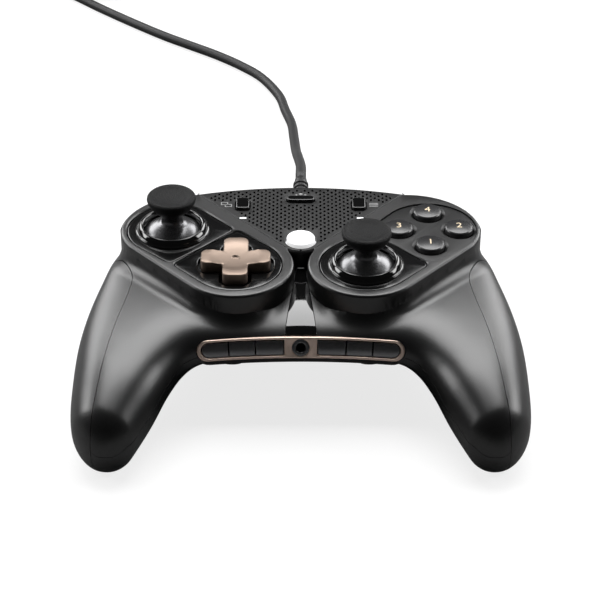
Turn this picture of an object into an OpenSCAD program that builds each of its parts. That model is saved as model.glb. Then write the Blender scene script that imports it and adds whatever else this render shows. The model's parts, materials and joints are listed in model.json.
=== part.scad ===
// Wired gamepad with lift-out stick and pad modules, in millimetres.
// It rests on z = 0. The player sits towards -Y and the cord leaves towards +Y.

/* [Body] */
// Overall width across the two grips
body_w = 160; // [152:1:170]
// Height of the flat face above the table
face_z = 45; // [44:0.5:48]
// Height of the saddle between the raised wings
saddle_z = 37.5; // [36.5:0.5:39]
// How far the grips reach forward of the front bar
grip_l = 39.2; // [34:0.2:46]
// Thickness of the moulded shells
wall = 2.2; // [1.8:0.1:2.5]
// Thickness of the face deck that holds the modules
deck_t = 6; // [5.6:0.1:6.6]

/* [Face] */
// Outer controls, distance from the middle
outer_x = 47.3; // [46:0.1:50]
// Inner controls, distance from the middle
inner_x = 23.4; // [22.8:0.1:25]
// Back row of controls, in from the back edge of the face
back_row_in = 30; // [28.8:0.1:31.3]
// Front row of controls, ahead of the back row
row_gap = 23.5; // [23.4:0.1:26]
// Radius of the raised wing round the outer controls
wing_outer_r = 19.2; // [18.8:0.1:21]
// Radius of the raised wing round the inner controls
wing_inner_r = 21; // [20:0.1:22]
// Radius of the rounded shoulders
shoulder_r = 26.8; // [26:0.1:28]
// Back edge of the face in the middle
face_back_y = 59.3; // [58.5:0.1:61]
// Half width of the centre panel at its back corners
panel_corner_x = 39.5; // [37:0.5:41]
// Thickness of the centre panel
panel_t = 2; // [1.6:0.1:2.4]

/* [Modules] */
// Radius of the round end of a module plate
plate_r = 16.6; // [16:0.1:17]
// Reach of the two plate corners from the centre
plate_reach = 21.8; // [20.5:0.1:22.4]
// Thickness of a module plate
plate_t = 3.2; // [2.8:0.1:3.6]
// Depth of a module below the face
module_depth = 20; // [19.6:0.1:21]
// Radius of the cup under a module plate
cup_r = 14.6; // [14.4:0.1:15]
// Running gap between pieces that move past each other
gap = 0.35; // [0.3:0.05:0.45]

/* [Sticks] */
// Height of the stick caps above the face
stick_h = 14.5; // [13.5:0.5:18]
// Diameter of the stick caps
cap_d = 17.6; // [16:0.2:19]
// Depth of the tilt axes below the face
pivot_depth = 11.5; // [11.3:0.1:12]
// Radius of the dome under a stick
dome_r = 12.5; // [12:0.1:12.6]
// Diameter of the collar round a stick
collar_d = 24.8; // [24.2:0.2:27]

/* [Pad and buttons] */
// Tip to tip size of the cross pad
cross_d = 25; // [22:0.5:25.4]
// Width of the arms of the cross pad
cross_arm = 9; // [8:0.2:9.6]
// Radius of the circle on which the four face buttons sit
cluster_r = 11.1; // [10.6:0.1:11.2]
// Diameter of a face button
face_btn_d = 10.5; // [9.6:0.1:10.7]
// Travel of a face button
face_btn_travel = 1; // [0.6:0.1:1.1]
// Diameter of the guide button
guide_d = 10.8; // [9:0.2:11.6]
// Distance of the view and menu buttons from the middle
menu_x = 21.8; // [19:0.2:23]

/* [Front bar] */
// Width of the front bezel
bar_w = 73.5; // [68:0.5:76]
// Height of the front bezel
bar_h = 8.2; // [7.8:0.1:9]
// Lean of the bezel face back from upright, degrees
bar_tilt = 20; // [17:1:23]
// Radius of the headset socket bore
jack_bore_r = 1.75; // [1.25:0.05:1.8]

/* [Triggers] */
// Distance of the trigger middles from the middle of the body
trigger_x = 40; // [39:0.5:42]
// Width of a trigger
trigger_w = 24; // [20:0.5:25]
// Radius of the trigger pins
trigger_pin_r = 1.5; // [1.2:0.1:1.8]
// Thickness of a bumper
bumper_t = 2.6; // [2:0.1:3]

/* [Rumble] */
// Radius of a rumble motor
motor_r = 6; // [5:0.1:6.6]
// Radius of a rumble weight
weight_r = 8; // [6:0.1:8.2]

/* [Cord] */
// Diameter of the cord
cord_d = 4.2; // [4:0.05:4.3]
// Turns in each layer of the put-away coil
coil_turns = 3.485; // [3.3:0.001:3.8]

/* [Hidden] */
$fn = 48;
far = 300;
face_chamfer = 1;
half_w_nominal = 80;
grip_nominal = 39.2;
bar_y = -23.8;
parting_z = 24;
face_low_z = 21.3;
run_fit = 0.05;

// Body stations from the grip tip to the middle of the left half:
// outer x, outer y, inner x, inner y, outer edge z, inner edge z, crown z,
// keel z at the outer and the inner side, and the roundness of the section.
back_row_y = face_back_y - back_row_in;
front_row_y = back_row_y - row_gap;
stations = [
    [-77.0, -61.0, -60.0, -64.5, 12.0, 12.0, saddle_z - 15.0, -1.0, 0.5, 2.1],
    [-79.6, -48.0, -55.5, -55.5, 14.0, 14.0, saddle_z - 10.0, -1.4, 0.1, 2.1],
    [-80.0, -34.0, -50.5, -45.5, 17.0, 17.0, saddle_z - 6.0, -0.6, 3.0, 2.2],
    [-79.2, -18.0, -45.8, -35.5, 21.5, 20.0, saddle_z - 3.5, 2.5, 9.0, 2.3],
    [-76.8, -3.0, -41.0, -28.5, 25.5, 22.5, saddle_z - 2.0, 5.0, 14.5, 2.5],
    [-73.0, back_row_y - 16.3, -35.5, -25.0, 29.0, 24.0, saddle_z - 1.0, 5.0, 18.5, 2.7],
    [-69.0, back_row_y - 1.3, -28.0, -24.0, 30.5, 24.5, saddle_z - 0.5, 3.0, 20.5, 2.9],
    [-61.0, face_back_y - 15.3, -21.0, bar_y, 30.5, 24.8, saddle_z - 0.2, -2.0, 21.0, 3.0],
    [-42.0, face_back_y - 6.3, -14.0, bar_y, 30.0, 25.0, saddle_z, -7.0, 21.3, 3.0],
    [-21.0, face_back_y - 2.3, -7.0, bar_y, 30.0, 25.0, saddle_z, -9.0, 21.5, 3.0],
    [0.0, face_back_y - 1.3, 0.0, bar_y, 30.0, 25.0, saddle_z, -9.5, 21.5, 3.0],
];
last = len(stations) - 1;
tip_end = 0.75;
tip_pitch = 13;
tip_rings = 5;
// The outside is drawn finer than the inside.
function body_steps(inset) = inset > 0 ? 11 : 17;
function ring_n(inset) = inset > 0 ? 16 : 24;

function mix(a, b, f) = a + (b - a) * f;
function power(x, p) = sign(x) * pow(abs(x), p);
function unit(v) = v / norm(v);
function flip_x(p) = [-p[0], p[1], p[2]];
function reversed(list) = [for (i = [len(list) - 1:-1:0]) list[i]];
// Moves a place in front of the bar with the reach of the grips.
function fore(y) = y < bar_y ? bar_y + (y - bar_y) * grip_l / grip_nominal : y;
function sized(s) = [for (i = [0:9]) i == 0 || i == 2 ? s[i] * body_w / 2 / half_w_nominal
    : i == 1 || i == 3 ? fore(s[i]) : s[i]];
function across(s) = [for (i = [0:9]) i == 0 || i == 2 ? -s[i] : s[i]];
function row(i) = i < 0 ? 2 * sized(stations[0]) - sized(stations[1])
    : i > last ? across(sized(stations[2 * last - i])) : sized(stations[i]);
// A smooth curve value between four neighbouring values.
function ease(a, b, c, d, f) = 0.5 * (2 * b + (c - a) * f + (2 * a - 5 * b + 4 * c - d) * f * f
    + (3 * b - a - 3 * c + d) * f * f * f);
function station(t) = let (i = min(floor(t), last - 1))
    ease(row(i - 1), row(i), row(i + 1), row(i + 2), t - i);
function tip_fade(t, inset) = let (start = inset / tip_pitch, u = (t - start) / (tip_end - start))
    t < tip_end ? sqrt(max(0, 1 - (1 - u) * (1 - u))) : 1;
// A point of the body at station t and section angle v: 0 outer edge, 90 crown, 180 inner edge.
function body_point(t, v, inset = 0) = let (
    s = station(t),
    fade = tip_fade(t, inset),
    half = [s[0] - s[2], s[1] - s[3]] / 2,
    middle = [s[0] + s[2], s[1] + s[3]] / 2,
    a = power(cos(v), 2 / s[9]),
    b = power(sin(v), 2 / s[9]),
    w = (a + 1) / 2,
    edge = mix(s[5], s[4], w),
    keel = mix(s[8], s[7], w),
    z = b >= 0 ? edge + (s[6] - inset - edge) * b : edge + (edge - keel - inset) * b,
    level = (s[4] + s[5]) / 2,
    xy = middle + half * a * (1 - inset / norm(half)) * fade)
    [xy[0], xy[1], level + (z - level) * fade];
function body_stops(inset) = let (start = inset / tip_pitch) [
    for (i = [0:tip_rings - 1]) start + (tip_end - start) * (1 - cos(mix(8, 90, i / (tip_rings - 1)))),
    for (i = [1:body_steps(inset)]) mix(tip_end, last, i / body_steps(inset)),
];
function body_ring(t, inset) = let (n = ring_n(inset)) [for (j = [0:n - 1]) body_point(t, 360 * j / n, inset)];
function body_rings(inset) = let (left = [for (t = body_stops(inset)) body_ring(t, inset)], n = len(left))
    [for (i = [0:2 * n - 2]) i < n ? left[i] : [for (p = left[2 * n - 2 - i]) flip_x(p)]];

// Closes a list of rings of equal length into one solid.
module skin(rings) {
    n = len(rings[0]);
    m = len(rings);
    sides = [for (i = [0:m - 2], j = [0:n - 1]) let (k = (j + 1) % n, a = i * n, b = a + n)
        each [[a + j, b + k, a + k], [a + j, b + j, b + k]]];
    caps = [[for (j = [0:n - 1]) j], [for (j = [n - 1:-1:0]) (m - 1) * n + j]];
    polyhedron(points = [for (r = rings) each r], faces = concat(sides, caps));
}

// A closed smooth outline through a few points.
function smooth_closed(p, steps) = let (n = len(p)) [for (i = [0:n - 1], k = [0:steps - 1])
    ease(p[(i + n - 1) % n], p[i], p[(i + 1) % n], p[(i + 2) % n], k / steps)];
// An open smooth line through a few points.
function smooth_open(p, steps) = let (n = len(p) - 1) [
    for (i = [0:n - 1], k = [0:steps - 1]) ease(i == 0 ? 2 * p[0] - p[1] : p[i - 1], p[i], p[i + 1],
        i == n - 1 ? 2 * p[n] - p[n - 1] : p[i + 2], k / steps),
    p[n],
];

// The face outline: two wings, two shoulders and the centre panel.
shoulder_x = outer_x - 7.3;
panel_sag = 5.2;
panel_corner_y = face_back_y - panel_sag;
shoulder_y = panel_corner_y - shoulder_r;
wing_draft = 1.2;
back_arc_r = (panel_corner_x * panel_corner_x + panel_sag * panel_sag) / (2 * panel_sag);
guide_y = face_back_y - 37.7;
panel_nose_r = guide_d / 2 + 2.6;

module wing_block(side, grow, low, top) hull()
    for (p = [[outer_x, back_row_y, wing_outer_r], [inner_x, front_row_y, wing_inner_r]])
        translate([side * p[0], p[1], low]) {
            cylinder(h = top - low - face_chamfer, r1 = p[2] + wing_draft + grow, r2 = p[2] + grow);
            cylinder(h = top - low, r = p[2] + grow - face_chamfer);
        }
module shoulder_shape(grow) intersection() {
    translate([shoulder_x, shoulder_y]) circle(r = shoulder_r + grow, $fn = 64);
    translate([0, back_row_y + 0.63]) square([far, far]);
}
module panel_shape(grow) intersection() {
    translate([0, face_back_y - back_arc_r]) circle(r = back_arc_r + grow, $fn = 160);
    hull() {
        translate([0, guide_y]) circle(r = panel_nose_r + grow);
        polygon([[-panel_corner_x - grow, panel_corner_y], [panel_corner_x + grow, panel_corner_y],
            [0, panel_corner_y + panel_sag * 2.2 + grow]]);
    }
}
module chamfered(low, top) hull() {
    translate([0, 0, low]) linear_extrude(top - low - face_chamfer) children(0);
    translate([0, 0, low]) linear_extrude(top - low) children(1);
}
module face_block(grow, low, top) {
    for (side = [-1, 1]) {
        wing_block(side, grow, low, top);
        mirror([side < 0 ? 1 : 0, 0, 0]) chamfered(low, top) {
            shoulder_shape(grow);
            shoulder_shape(grow - face_chamfer);
        }
    }
    chamfered(low, top) {
        panel_shape(grow);
        panel_shape(grow - face_chamfer);
    }
}

// The hollow body that the shells are cut from, without and with the raised face.
module body_skin() difference() {
    skin(body_rings(0));
    skin(body_rings(wall));
}
module shell_skin() difference() {
    union() {
        skin(body_rings(0));
        face_block(0, face_low_z, face_z);
    }
    skin(body_rings(wall));
    face_block(-wall, face_low_z - 1, face_z - deck_t);
}
parting = [[fore(-100), 4], [fore(-64), 11], [fore(-45), 18.5], [bar_y, 23], [0, parting_z], [far, parting_z]];
function parting_at(y) = lookup(y, parting);
module parting_side(z) rotate([90, 0, 90]) linear_extrude(2 * far, center = true)
    polygon(concat(parting, [[far, z], [fore(-100), z]]));
// The plan outline that parts the left side grip from the shells.
seam_x = outer_x + 14.7;
side_seam = concat([[-100, back_row_y - 8.3], [-seam_x - 12, back_row_y - 7.8], [-seam_x - 4, back_row_y - 9.3],
    [-seam_x, back_row_y - 15.8], [-seam_x - 0.2, back_row_y - 25.3]],
    [for (p = [[-65, -10], [-68.8, -25], [-71.4, -38], [-72.2, -50], [-71.4, -62], [-71.4, -78], [-100, -78]])
        [p[0] * body_w / 2 / half_w_nominal, fore(p[1])]]);
module side_region(side) {
    line = smooth_open(side_seam, 4);
    translate([0, 0, -1]) linear_extrude(far) scale([-side, 1]) polygon(line);
}

// Places of the four control groups, the front bar and the two triggers.
module at_left_stick() translate([-outer_x, back_row_y, face_z]) children();
module at_right_stick() translate([inner_x, front_row_y, face_z]) children();
module at_pad() translate([-inner_x, front_row_y, face_z]) children();
module at_cluster() translate([outer_x, back_row_y, face_z]) children();
bar_face_y = -23.2;
bar_face_z = 28.8;
module at_bar() translate([0, bar_face_y, bar_face_z]) rotate([90 - bar_tilt, 0, 0]) children();
trigger_y = back_row_y + 20.7;
trigger_z = 27;
module at_trigger(side) translate([side * trigger_x, trigger_y, trigger_z]) children();

// A module plate: a round end with two corners, turned for each place.
plate_corner_r = 2.2;
plate_drop = 0.4;
module plate_shape(r, grow = 0) hull() {
    circle(r = r + grow);
    translate([plate_reach - plate_corner_r, 0]) circle(r = plate_corner_r + grow, $fn = 20);
    translate([0, -(plate_reach - plate_corner_r)]) circle(r = plate_corner_r + grow, $fn = 20);
}
module turned(turn) rotate([0, 0, turn]) children();
left_turn = 0;
pad_turn = 180;
right_turn = 90;
cluster_turn = 270;
ledge_gap = 0.3;
module module_pocket(turn) {
    translate([0, 0, -plate_drop - plate_t - ledge_gap]) linear_extrude(far) turned(turn)
        plate_shape(plate_r, gap);
    translate([0, 0, -2 * deck_t]) cylinder(r = cup_r + gap + 0.05, h = 2 * deck_t);
}

// The four face buttons.
cluster_angles = [270, 0, 180, 90];
cluster_plate_r = cluster_r + face_btn_d / 2 + 1.2;
flange = 0.65;
// The plate of the buttons has a hollow side where the module of the stick beside it sits.
module cluster_shape(grow) difference() {
    turned(cluster_turn) plate_shape(cluster_plate_r, grow);
    translate([inner_x - outer_x, front_row_y - back_row_y])
        turned(right_turn) plate_shape(plate_r, gap - grow);
}
module each_face_button() for (a = cluster_angles) rotate([0, 0, a]) translate([cluster_r, 0]) children();
module face_flange_clear() circle(r = face_btn_d / 2 + flange + 0.5, $fn = 32);

// Boards: the upper one sits under the panel, the main one under the modules.
upper_board_top = face_z - 8.4;
board_t = 1.6;
board_nose_r = panel_nose_r - wall - 0.6;
contact_h = 1.6;
main_board_top = face_z - module_depth - ledge_gap - contact_h;
screw_back = [12, face_back_y - 20.8];
screw_station = 3.1;
function grip_screw() = let (s = station(screw_station)) [(s[0] + s[2]) / 2, (s[1] + s[3]) / 2];
function screw_places() = let (g = grip_screw()) [g, [-g[0], g[1]],
    screw_back, [-screw_back[0], screw_back[1]]];
screw_r = 1.4;
screw_head_r = 2.5;
screw_head_h = 1.8;
screw_seat_z = 9;
screw_bite = 8;
boss_r = 3.6;

// Motors lie across the grips at one station.
motor_station = 1.7;
motor_l = 9;
motor_axis_z = 15;
function motor_place(side) = let (s = station(motor_station))
    [-side * (s[0] + s[2]) / 2, (s[1] + s[3]) / 2, motor_axis_z];
motor_back = 9.5;
weight_gap = 1.3;
weight_l = 6;

// Small buttons on the centre panel: place, size of the cap and corner radius.
menu_y = face_back_y - 13.3;
share_y = face_back_y - 9.7;
small_cap = [5, 7.4];
share_cap = [10.3, 3.4];
small_corner = 1.2;
small_travel = 0.7;
module rounded_rect(size, r) {
    square([size[0], size[1] - 2 * r], center = true);
    square([size[0] - 2 * r, size[1]], center = true);
    for (x = [-1, 1], y = [-1, 1]) translate([x * (size[0] / 2 - r), y * (size[1] / 2 - r)]) circle(r = r);
}
module grown_rect(size, r, grow) rounded_rect([size[0] + 2 * grow, size[1] + 2 * grow], r + grow);
module panel_openings(grow, fine = 48) {
    $fn = fine;
    for (side = [-1, 1]) translate([side * menu_x, menu_y]) grown_rect(small_cap, small_corner, grow);
    translate([0, share_y]) grown_rect(share_cap, share_cap[1] / 2 - 0.1, grow);
    translate([0, guide_y]) circle(r = guide_d / 2 + grow);
}

// Front bar: an arc band in the bezel plane, and the places of its buttons along it.
bar_sag = 2.2;
bar_arc_r = (bar_w * bar_w / 4 + bar_sag * bar_sag) / (2 * bar_sag);
bezel_rim = 0.9;
bezel_back = 2;
bezel_front = 0.6;
bar_splits = [6.1, 16, 25.4, bar_w / 2 - 1.85];
function bar_angle(x) = asin(x / bar_arc_r);
function bar_at(x) = [bar_arc_r * sin(bar_angle(x)), bar_arc_r * (cos(bar_angle(x)) - 1)];
function bar_edge(x, out) = bar_at(x) + out * [sin(bar_angle(x)), cos(bar_angle(x))];
// The points of a round end at x, turning clockwise from the given angle.
bar_end_steps = 10;
function bar_round(x, r, from) = [for (k = [1:bar_end_steps - 1])
    let (a = from - 180 * k / bar_end_steps - bar_angle(x))
    bar_at(x) + r * [cos(a), sin(a)]];
// A band of the bar from x0 to x1, with a round end where asked.
module bar_band(x0, x1, half_h, round0 = false, round1 = false) {
    a = x0 + (round0 ? half_h : 0);
    b = x1 - (round1 ? half_h : 0);
    steps = ceil((b - a) / 4);
    along = [for (k = [0:steps]) mix(a, b, k / steps)];
    polygon(concat([for (x = along) bar_edge(x, half_h)], round1 ? bar_round(b, half_h, 90) : [],
        [for (x = reversed(along)) bar_edge(x, -half_h)], round0 ? bar_round(a, half_h, -90) : []));
}
module bezel_outline(grow) bar_band(-bar_w / 2 - grow, bar_w / 2 + grow, bar_h / 2 + grow, true, true);
window_half_h = bar_h / 2 - bezel_rim;
module bezel_window(side, grow) scale([side, 1])
    bar_band(bar_splits[0] - gap - grow, bar_splits[3] + gap + grow, window_half_h + grow, false, true);
jack_r = 3;
jack_depth = 12.5;
module bar_pocket() at_bar() {
    translate([0, 0, -bezel_back]) linear_extrude(8) bezel_outline(0.15);
    translate([0, 0, -6]) linear_extrude(8) for (side = [-1, 1]) bezel_window(side, 0.2);
    translate([0, 0, -20]) cylinder(r = jack_r + 0.2, h = 24, $fn = 24);
}

// The glossy strip down the saddle: a band bent over the front edge, cut to a taper.
strip_proud = 0.3;
strip_sunk = 0.9;
strip_w_back = 4.6;
strip_w_front = 11.4;
strip_angles = [90, 92, 96, 103, 112, 122, 131, 140, 148, 154];
function strip_line(inset) = [for (v = strip_angles) let (p = body_point(last, v, inset)) [p[1], p[2]]];
strip_front_y = strip_line(0)[len(strip_angles) - 1][0];
strip_back_y = guide_y - panel_nose_r + 0.9;
module strip_band(proud, sunk) rotate([90, 0, 90]) linear_extrude(2 * strip_w_front, center = true)
    polygon(concat(strip_line(-proud), reversed(strip_line(sunk))));
module strip_taper(grow) translate([0, 0, saddle_z - 12]) linear_extrude(20)
    polygon([[-strip_w_back / 2 - grow, strip_back_y + grow], [strip_w_back / 2 + grow, strip_back_y + grow],
        [strip_w_front / 2 + grow, strip_front_y - grow], [-strip_w_front / 2 - grow, strip_front_y - grow]]);
module centre_strip_solid(grow, proud) intersection() {
    strip_band(proud, strip_sunk + grow);
    strip_taper(grow);
}

// Triggers swing on pins held by brackets at the back of the body.
trigger_outline = [[-3.8, -0.5], [-2.4, 3.6], [4, 4.6], [10.6, 4.5], [12.8, 1.2], [12.5, -4], [10.9, -10],
    [10.2, -15], [10.9, -19], [9, -20.6], [6.2, -18.6], [5, -13], [2.6, -7.4], [-1.6, -4.2]];
ear_t = 1.5;
ear_gap = 0.3;
ear_r = 3.4;
bracket_t = 1.2;
bracket_y = back_row_y + cup_r + 0.5 + bracket_t;
well_low = 3;
spring_room = 6;
spring_wire = 0.7;
spring_turns = 4;
module trigger_well(side)
    translate([side * trigger_x - trigger_w / 2 - ear_t - ear_gap - 0.4, bracket_y - bracket_t - 0.4, well_low])
        cube([trigger_w + 2 * (ear_t + ear_gap + 0.4), far, trigger_z + 6.2 - well_low]);
bumper_low = face_z - 11.4;
bumper_high = face_z - 2.2;
bumper_gap = 0.5;
bumper_pin_x = 14;
bumper_pin_r = 1.5;
bumper_axis_z = (bumper_low + bumper_high) / 2;
bumper_end_angle = 36;
function back_edge_y(x) = face_back_y - back_arc_r + sqrt(back_arc_r * back_arc_r - x * x);

// Rear buttons stand square to the sloping underside.
rear_tilt = 22;
rear_places = [[7.3, 234], [7.6, 265]];
rear_pill = [8, 14];
function rear_place(i, side) = let (p = body_point(rear_places[i][0], rear_places[i][1]))
    side < 0 ? p : flip_x(p);
module at_rear(i, side) translate(rear_place(i, side)) rotate([-rear_tilt, 0, 0]) children();
module pill(size, grow, fine = 48) {
    $fn = fine;
    square([size[0] + 2 * grow, size[1] - size[0]], center = true);
    for (y = [-1, 1]) translate([0, y * (size[1] - size[0]) / 2]) circle(r = size[0] / 2 + grow);
}

// Cord: the boot, a free run to the coil, the coil and a tail to the plug.
cord_z = face_z - 11.6;
boot_l = 26;
boot_end_y = face_back_y - 1.7 + boot_l;
floor_z = cord_d / 2;
coil_centre = [-102, 352];
coil_out_r = 35;
coil_start = 226.6;
coil_pitch = 4.7;
coil_layers = 4;
coil_steps = 20;
run_route = [[0, boot_end_y, cord_z], [0, boot_end_y + 4.4, cord_z], [0, boot_end_y + 17.4, 29.5],
    [-1, 117, 24], [-2, 135, 17], [-3, 160, 9.5],
    [-4, 179, 5], [-7, 196, 2.8], [-10, 211, floor_z], [-18, 228, floor_z], [-28, 240, floor_z],
    [-40, 251, floor_z], [-53, 261, floor_z], [-66, 271, floor_z], [-83, 286, floor_z], [-99, 301, floor_z],
    [-113, 315, floor_z]];
function coil_r(turn) = let (half = coil_turns + 0.5, u = turn + 0.25, k = floor(u / half), f = u - k * half)
    coil_out_r + coil_pitch * 0.25 - coil_pitch * (k % 2 == 0 ? f : half - f);
function coil_z(turn) = let (half = coil_turns + 0.5, k = floor(turn / half), f = turn - k * half)
    floor_z + coil_pitch * (k + min(1, max(0, (f - coil_turns) / 0.5)));
function coil_point(turn) = let (a = coil_start - 360 * turn)
    [coil_centre[0] + coil_r(turn) * cos(a), coil_centre[1] + coil_r(turn) * sin(a), coil_z(turn)];
coil_all_turns = coil_layers * coil_turns + (coil_layers - 1) * 0.5;
coil_rings = round(coil_all_turns * coil_steps);
coil_line = [for (i = [0:coil_rings]) coil_point(coil_all_turns * i / coil_rings)];
run_line = concat(smooth_open(concat(run_route, [coil_line[0]]), 2));
// The tail leaves the top turn straight on and sinks to the table: way along, sideways and height.
coil_end_angle = coil_start - 360 * coil_all_turns;
plug_way = [sin(coil_end_angle), -cos(coil_end_angle), 0];
plug_side = [plug_way[1], -plug_way[0], 0];
coil_top_z = floor_z + coil_pitch * (coil_layers - 1);
plug_z = 4;
plug_relief = 9;
plug_size = [26, 15, 8];
usb_shell = [12, 12, 4.5];
tail_steps = [[10, 0, coil_top_z - 0.2], [18, 0, coil_top_z - 1.6], [26, 0.1, mix(coil_top_z, floor_z, 0.36)],
    [34, 0.3, mix(coil_top_z, floor_z, 0.67)], [43, 0.6, mix(coil_top_z, floor_z, 0.92)],
    [54, 0.8, floor_z + 0.1], [72, -0.6, floor_z], [92, -4, plug_z - 0.4], [101, -6, plug_z]];
function tail_point(t) = [coil_centre[0], coil_centre[1], t[2]]
    + coil_out_r * [cos(coil_end_angle), sin(coil_end_angle), 0] + t[0] * plug_way + t[1] * plug_side;
tail_line = smooth_open(concat([coil_line[coil_rings]], [for (t = tail_steps) tail_point(t)]), 2);
tail_end = tail_line[len(tail_line) - 1];

// Rings of a tube along a line, each square to the way on.
function way_on(line, i) = unit(line[min(i + 1, len(line) - 1)] - line[max(i - 1, 0)]);
function tube_rings(line, r, sides) = [for (i = [0:len(line) - 1])
    let (w = way_on(line, i), u = unit(cross(w, [0, 0, 1])), v = cross(u, w))
        [for (j = [0:sides - 1])
            line[i] + r * (cos(360 * (j + 0.5) / sides) * u + sin(360 * (j + 0.5) / sides) * v)]];
function line_length(line) = len(line) < 2 ? 0 : [for (i = 0, s = 0; i < len(line); i = i + 1,
    s = s + (i < len(line) ? norm(line[i] - line[i - 1]) : 0)) s][len(line) - 1];
// Least gap between turns of the coil that are at least half a turn apart.
coil_gap = min([for (i = [0:4:coil_rings], j = [i + coil_steps / 2:1:coil_rings])
    norm(coil_line[i] - coil_line[j])]) - cord_d;
echo(coil_gap = coil_gap, coil_length = line_length(coil_line), run_length = line_length(run_line),
    tail_length = line_length(tail_line));

shell_tone = "#2c2d2f";
gloss_tone = "#121314";
copper_tone = "#a98f7d";
board_tone = "#1f5a3a";
steel_tone = "#b9bcc0";

// Shells

upper_posts = [[-12, face_back_y - 12.3], [12, face_back_y - 12.3],
    [outer_x - 10, back_row_y - 10], [outer_x + 10, back_row_y - 10]];
module top_shell() color(shell_tone) difference() {
    union() {
        intersection() {
            shell_skin();
            parting_side(far);
        }
        for (p = upper_posts) translate([p[0], p[1], upper_board_top])
            cylinder(r = 2.5, h = face_z - deck_t - upper_board_top + 0.5, $fn = 16);
        intersection() {
            for (p = screw_places()) translate([p[0], p[1], parting_at(p[1])])
                cylinder(r = boss_r, h = far, $fn = 20);
            union() {
                skin(body_rings(0.5));
                face_block(-0.6, face_low_z, face_z - deck_t + 0.5);
            }
        }
    }
    for (side = [-1, 1]) {
        side_region(side);
        trigger_well(side);
        translate([side * bumper_pin_x, face_back_y - 8, bumper_axis_z]) rotate([-90, 0, 0])
            cylinder(r = bumper_pin_r + 0.1, h = 20, $fn = 24);
    }
    at_left_stick() module_pocket(left_turn);
    at_right_stick() module_pocket(right_turn);
    at_pad() module_pocket(pad_turn);
    at_cluster() {
        translate([0, 0, -plate_drop - plate_t]) linear_extrude(far) cluster_shape(0.15);
        translate([0, 0, -2 * deck_t]) linear_extrude(far) {
            each_face_button() face_flange_clear();
            circle(r = cluster_r);
        }
    }
    translate([0, 0, face_z - panel_t]) linear_extrude(far) panel_shape(0.15 - face_chamfer * 1.5);
    translate([0, 0, face_z - 2 * deck_t]) linear_extrude(far) panel_openings(1.8, 20);
    bar_pocket();
    centre_strip_solid(0.1, 3);
    translate([0, face_back_y - 12, cord_z]) rotate([-90, 0, 0]) cylinder(r = 5.2, h = 30, $fn = 28);
    for (p = screw_places()) translate([p[0], p[1], 0])
        cylinder(r = screw_r + 0.3, h = parting_at(p[1]) + 10, $fn = 16);
}

board_posts = [for (side = [-1, 1]) each [[side * 12, front_row_y - 7.8], [side * 14, back_row_y - 1.3],
    [side * (outer_x - 1.3), front_row_y + 2.2]]];
module bottom_shell() color(shell_tone) difference() {
    union() {
        intersection() {
            body_skin();
            parting_side(-far);
            translate([-far, -far, 0]) cube(2 * far);
        }
        intersection() {
            union() {
                for (p = board_posts) translate([p[0], p[1], 0]) post(2.4, main_board_top - board_t);
                for (p = screw_places()) translate([p[0], p[1], 0]) post(boss_r + 0.4, parting_at(p[1]));
                for (side = [-1, 1]) translate(motor_place(side)) motor_saddle(side);
            }
            skin(body_rings(0.5));
            translate([-far, -far, 0]) cube(2 * far);
        }
    }
    for (side = [-1, 1]) {
        side_region(side);
        trigger_well(side);
        for (i = [0, 1]) at_rear(i, side) translate([0, 0, -6]) linear_extrude(20) pill(rear_pill, gap, 24);
    }
    bar_pocket();
    for (p = screw_places()) translate([p[0], p[1], -1]) {
        cylinder(r = screw_r + 0.3, h = far, $fn = 16);
        cylinder(r = screw_head_r + 0.4, h = screw_seat_z + 1, $fn = 20);
    }
}
// A post on a flared foot.
module post(r, h) hull() {
    cylinder(r = r, h = h, $fn = 12);
    cylinder(r = r + 1, h = h / 2, $fn = 12);
}
module motor_saddle(side) difference() {
    translate([side * (motor_back - motor_l / 2) - 3, -4, -motor_axis_z]) cube([6, 8, motor_axis_z]);
    rotate([0, 90, 0]) cylinder(r = motor_r + 0.2, h = far, center = true);
}
module side_grip(side) color("#313234") intersection() {
    shell_skin();
    side_region(side);
    translate([-far, -far, 0]) cube(2 * far);
}
module left_side_grip() side_grip(-1);
module right_side_grip() side_grip(1);
module centre_panel() color("#1b1c1d") translate([0, 0, face_z - panel_t]) linear_extrude(panel_t) difference() {
    panel_shape(-face_chamfer * 1.5);
    panel_openings(gap);
}
module centre_strip() color(gloss_tone) difference() {
    centre_strip_solid(0, strip_proud);
    bar_pocket();
}

// Front bar

module front_bezel() color(copper_tone) at_bar() translate([0, 0, -bezel_back])
    linear_extrude(bezel_back + bezel_front) difference() {
        bezel_outline(0);
        for (side = [-1, 1]) bezel_window(side, 0);
        circle(r = jack_r + 0.1);
    }
module headset_jack() color(gloss_tone) at_bar() translate([0, 0, bezel_front]) rotate([180, 0, 0]) difference() {
    cylinder(r = jack_r, h = jack_depth + 1);
    translate([0, 0, -1]) cylinder(r = jack_bore_r, h = jack_depth + 1);
}
module bar_button(i) {
    side = i < 3 ? -1 : 1;
    k = i < 3 ? 2 - i : i - 3;
    split = 0.2;
    color("#3a3b3e") at_bar() scale([side, 1, 1]) translate([0, 0, -3.4]) linear_extrude(3.4 + 0.3)
        bar_band(bar_splits[k] + (k == 0 ? 0 : split), bar_splits[k + 1] - (k == 2 ? 0 : split),
            window_half_h - gap, false, k == 2);
}
module bar_button_1() bar_button(0);
module bar_button_2() bar_button(1);
module bar_button_3() bar_button(2);
module bar_button_4() bar_button(3);
module bar_button_5() bar_button(4);
module bar_button_6() bar_button(5);

// Boards and rumble

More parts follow.
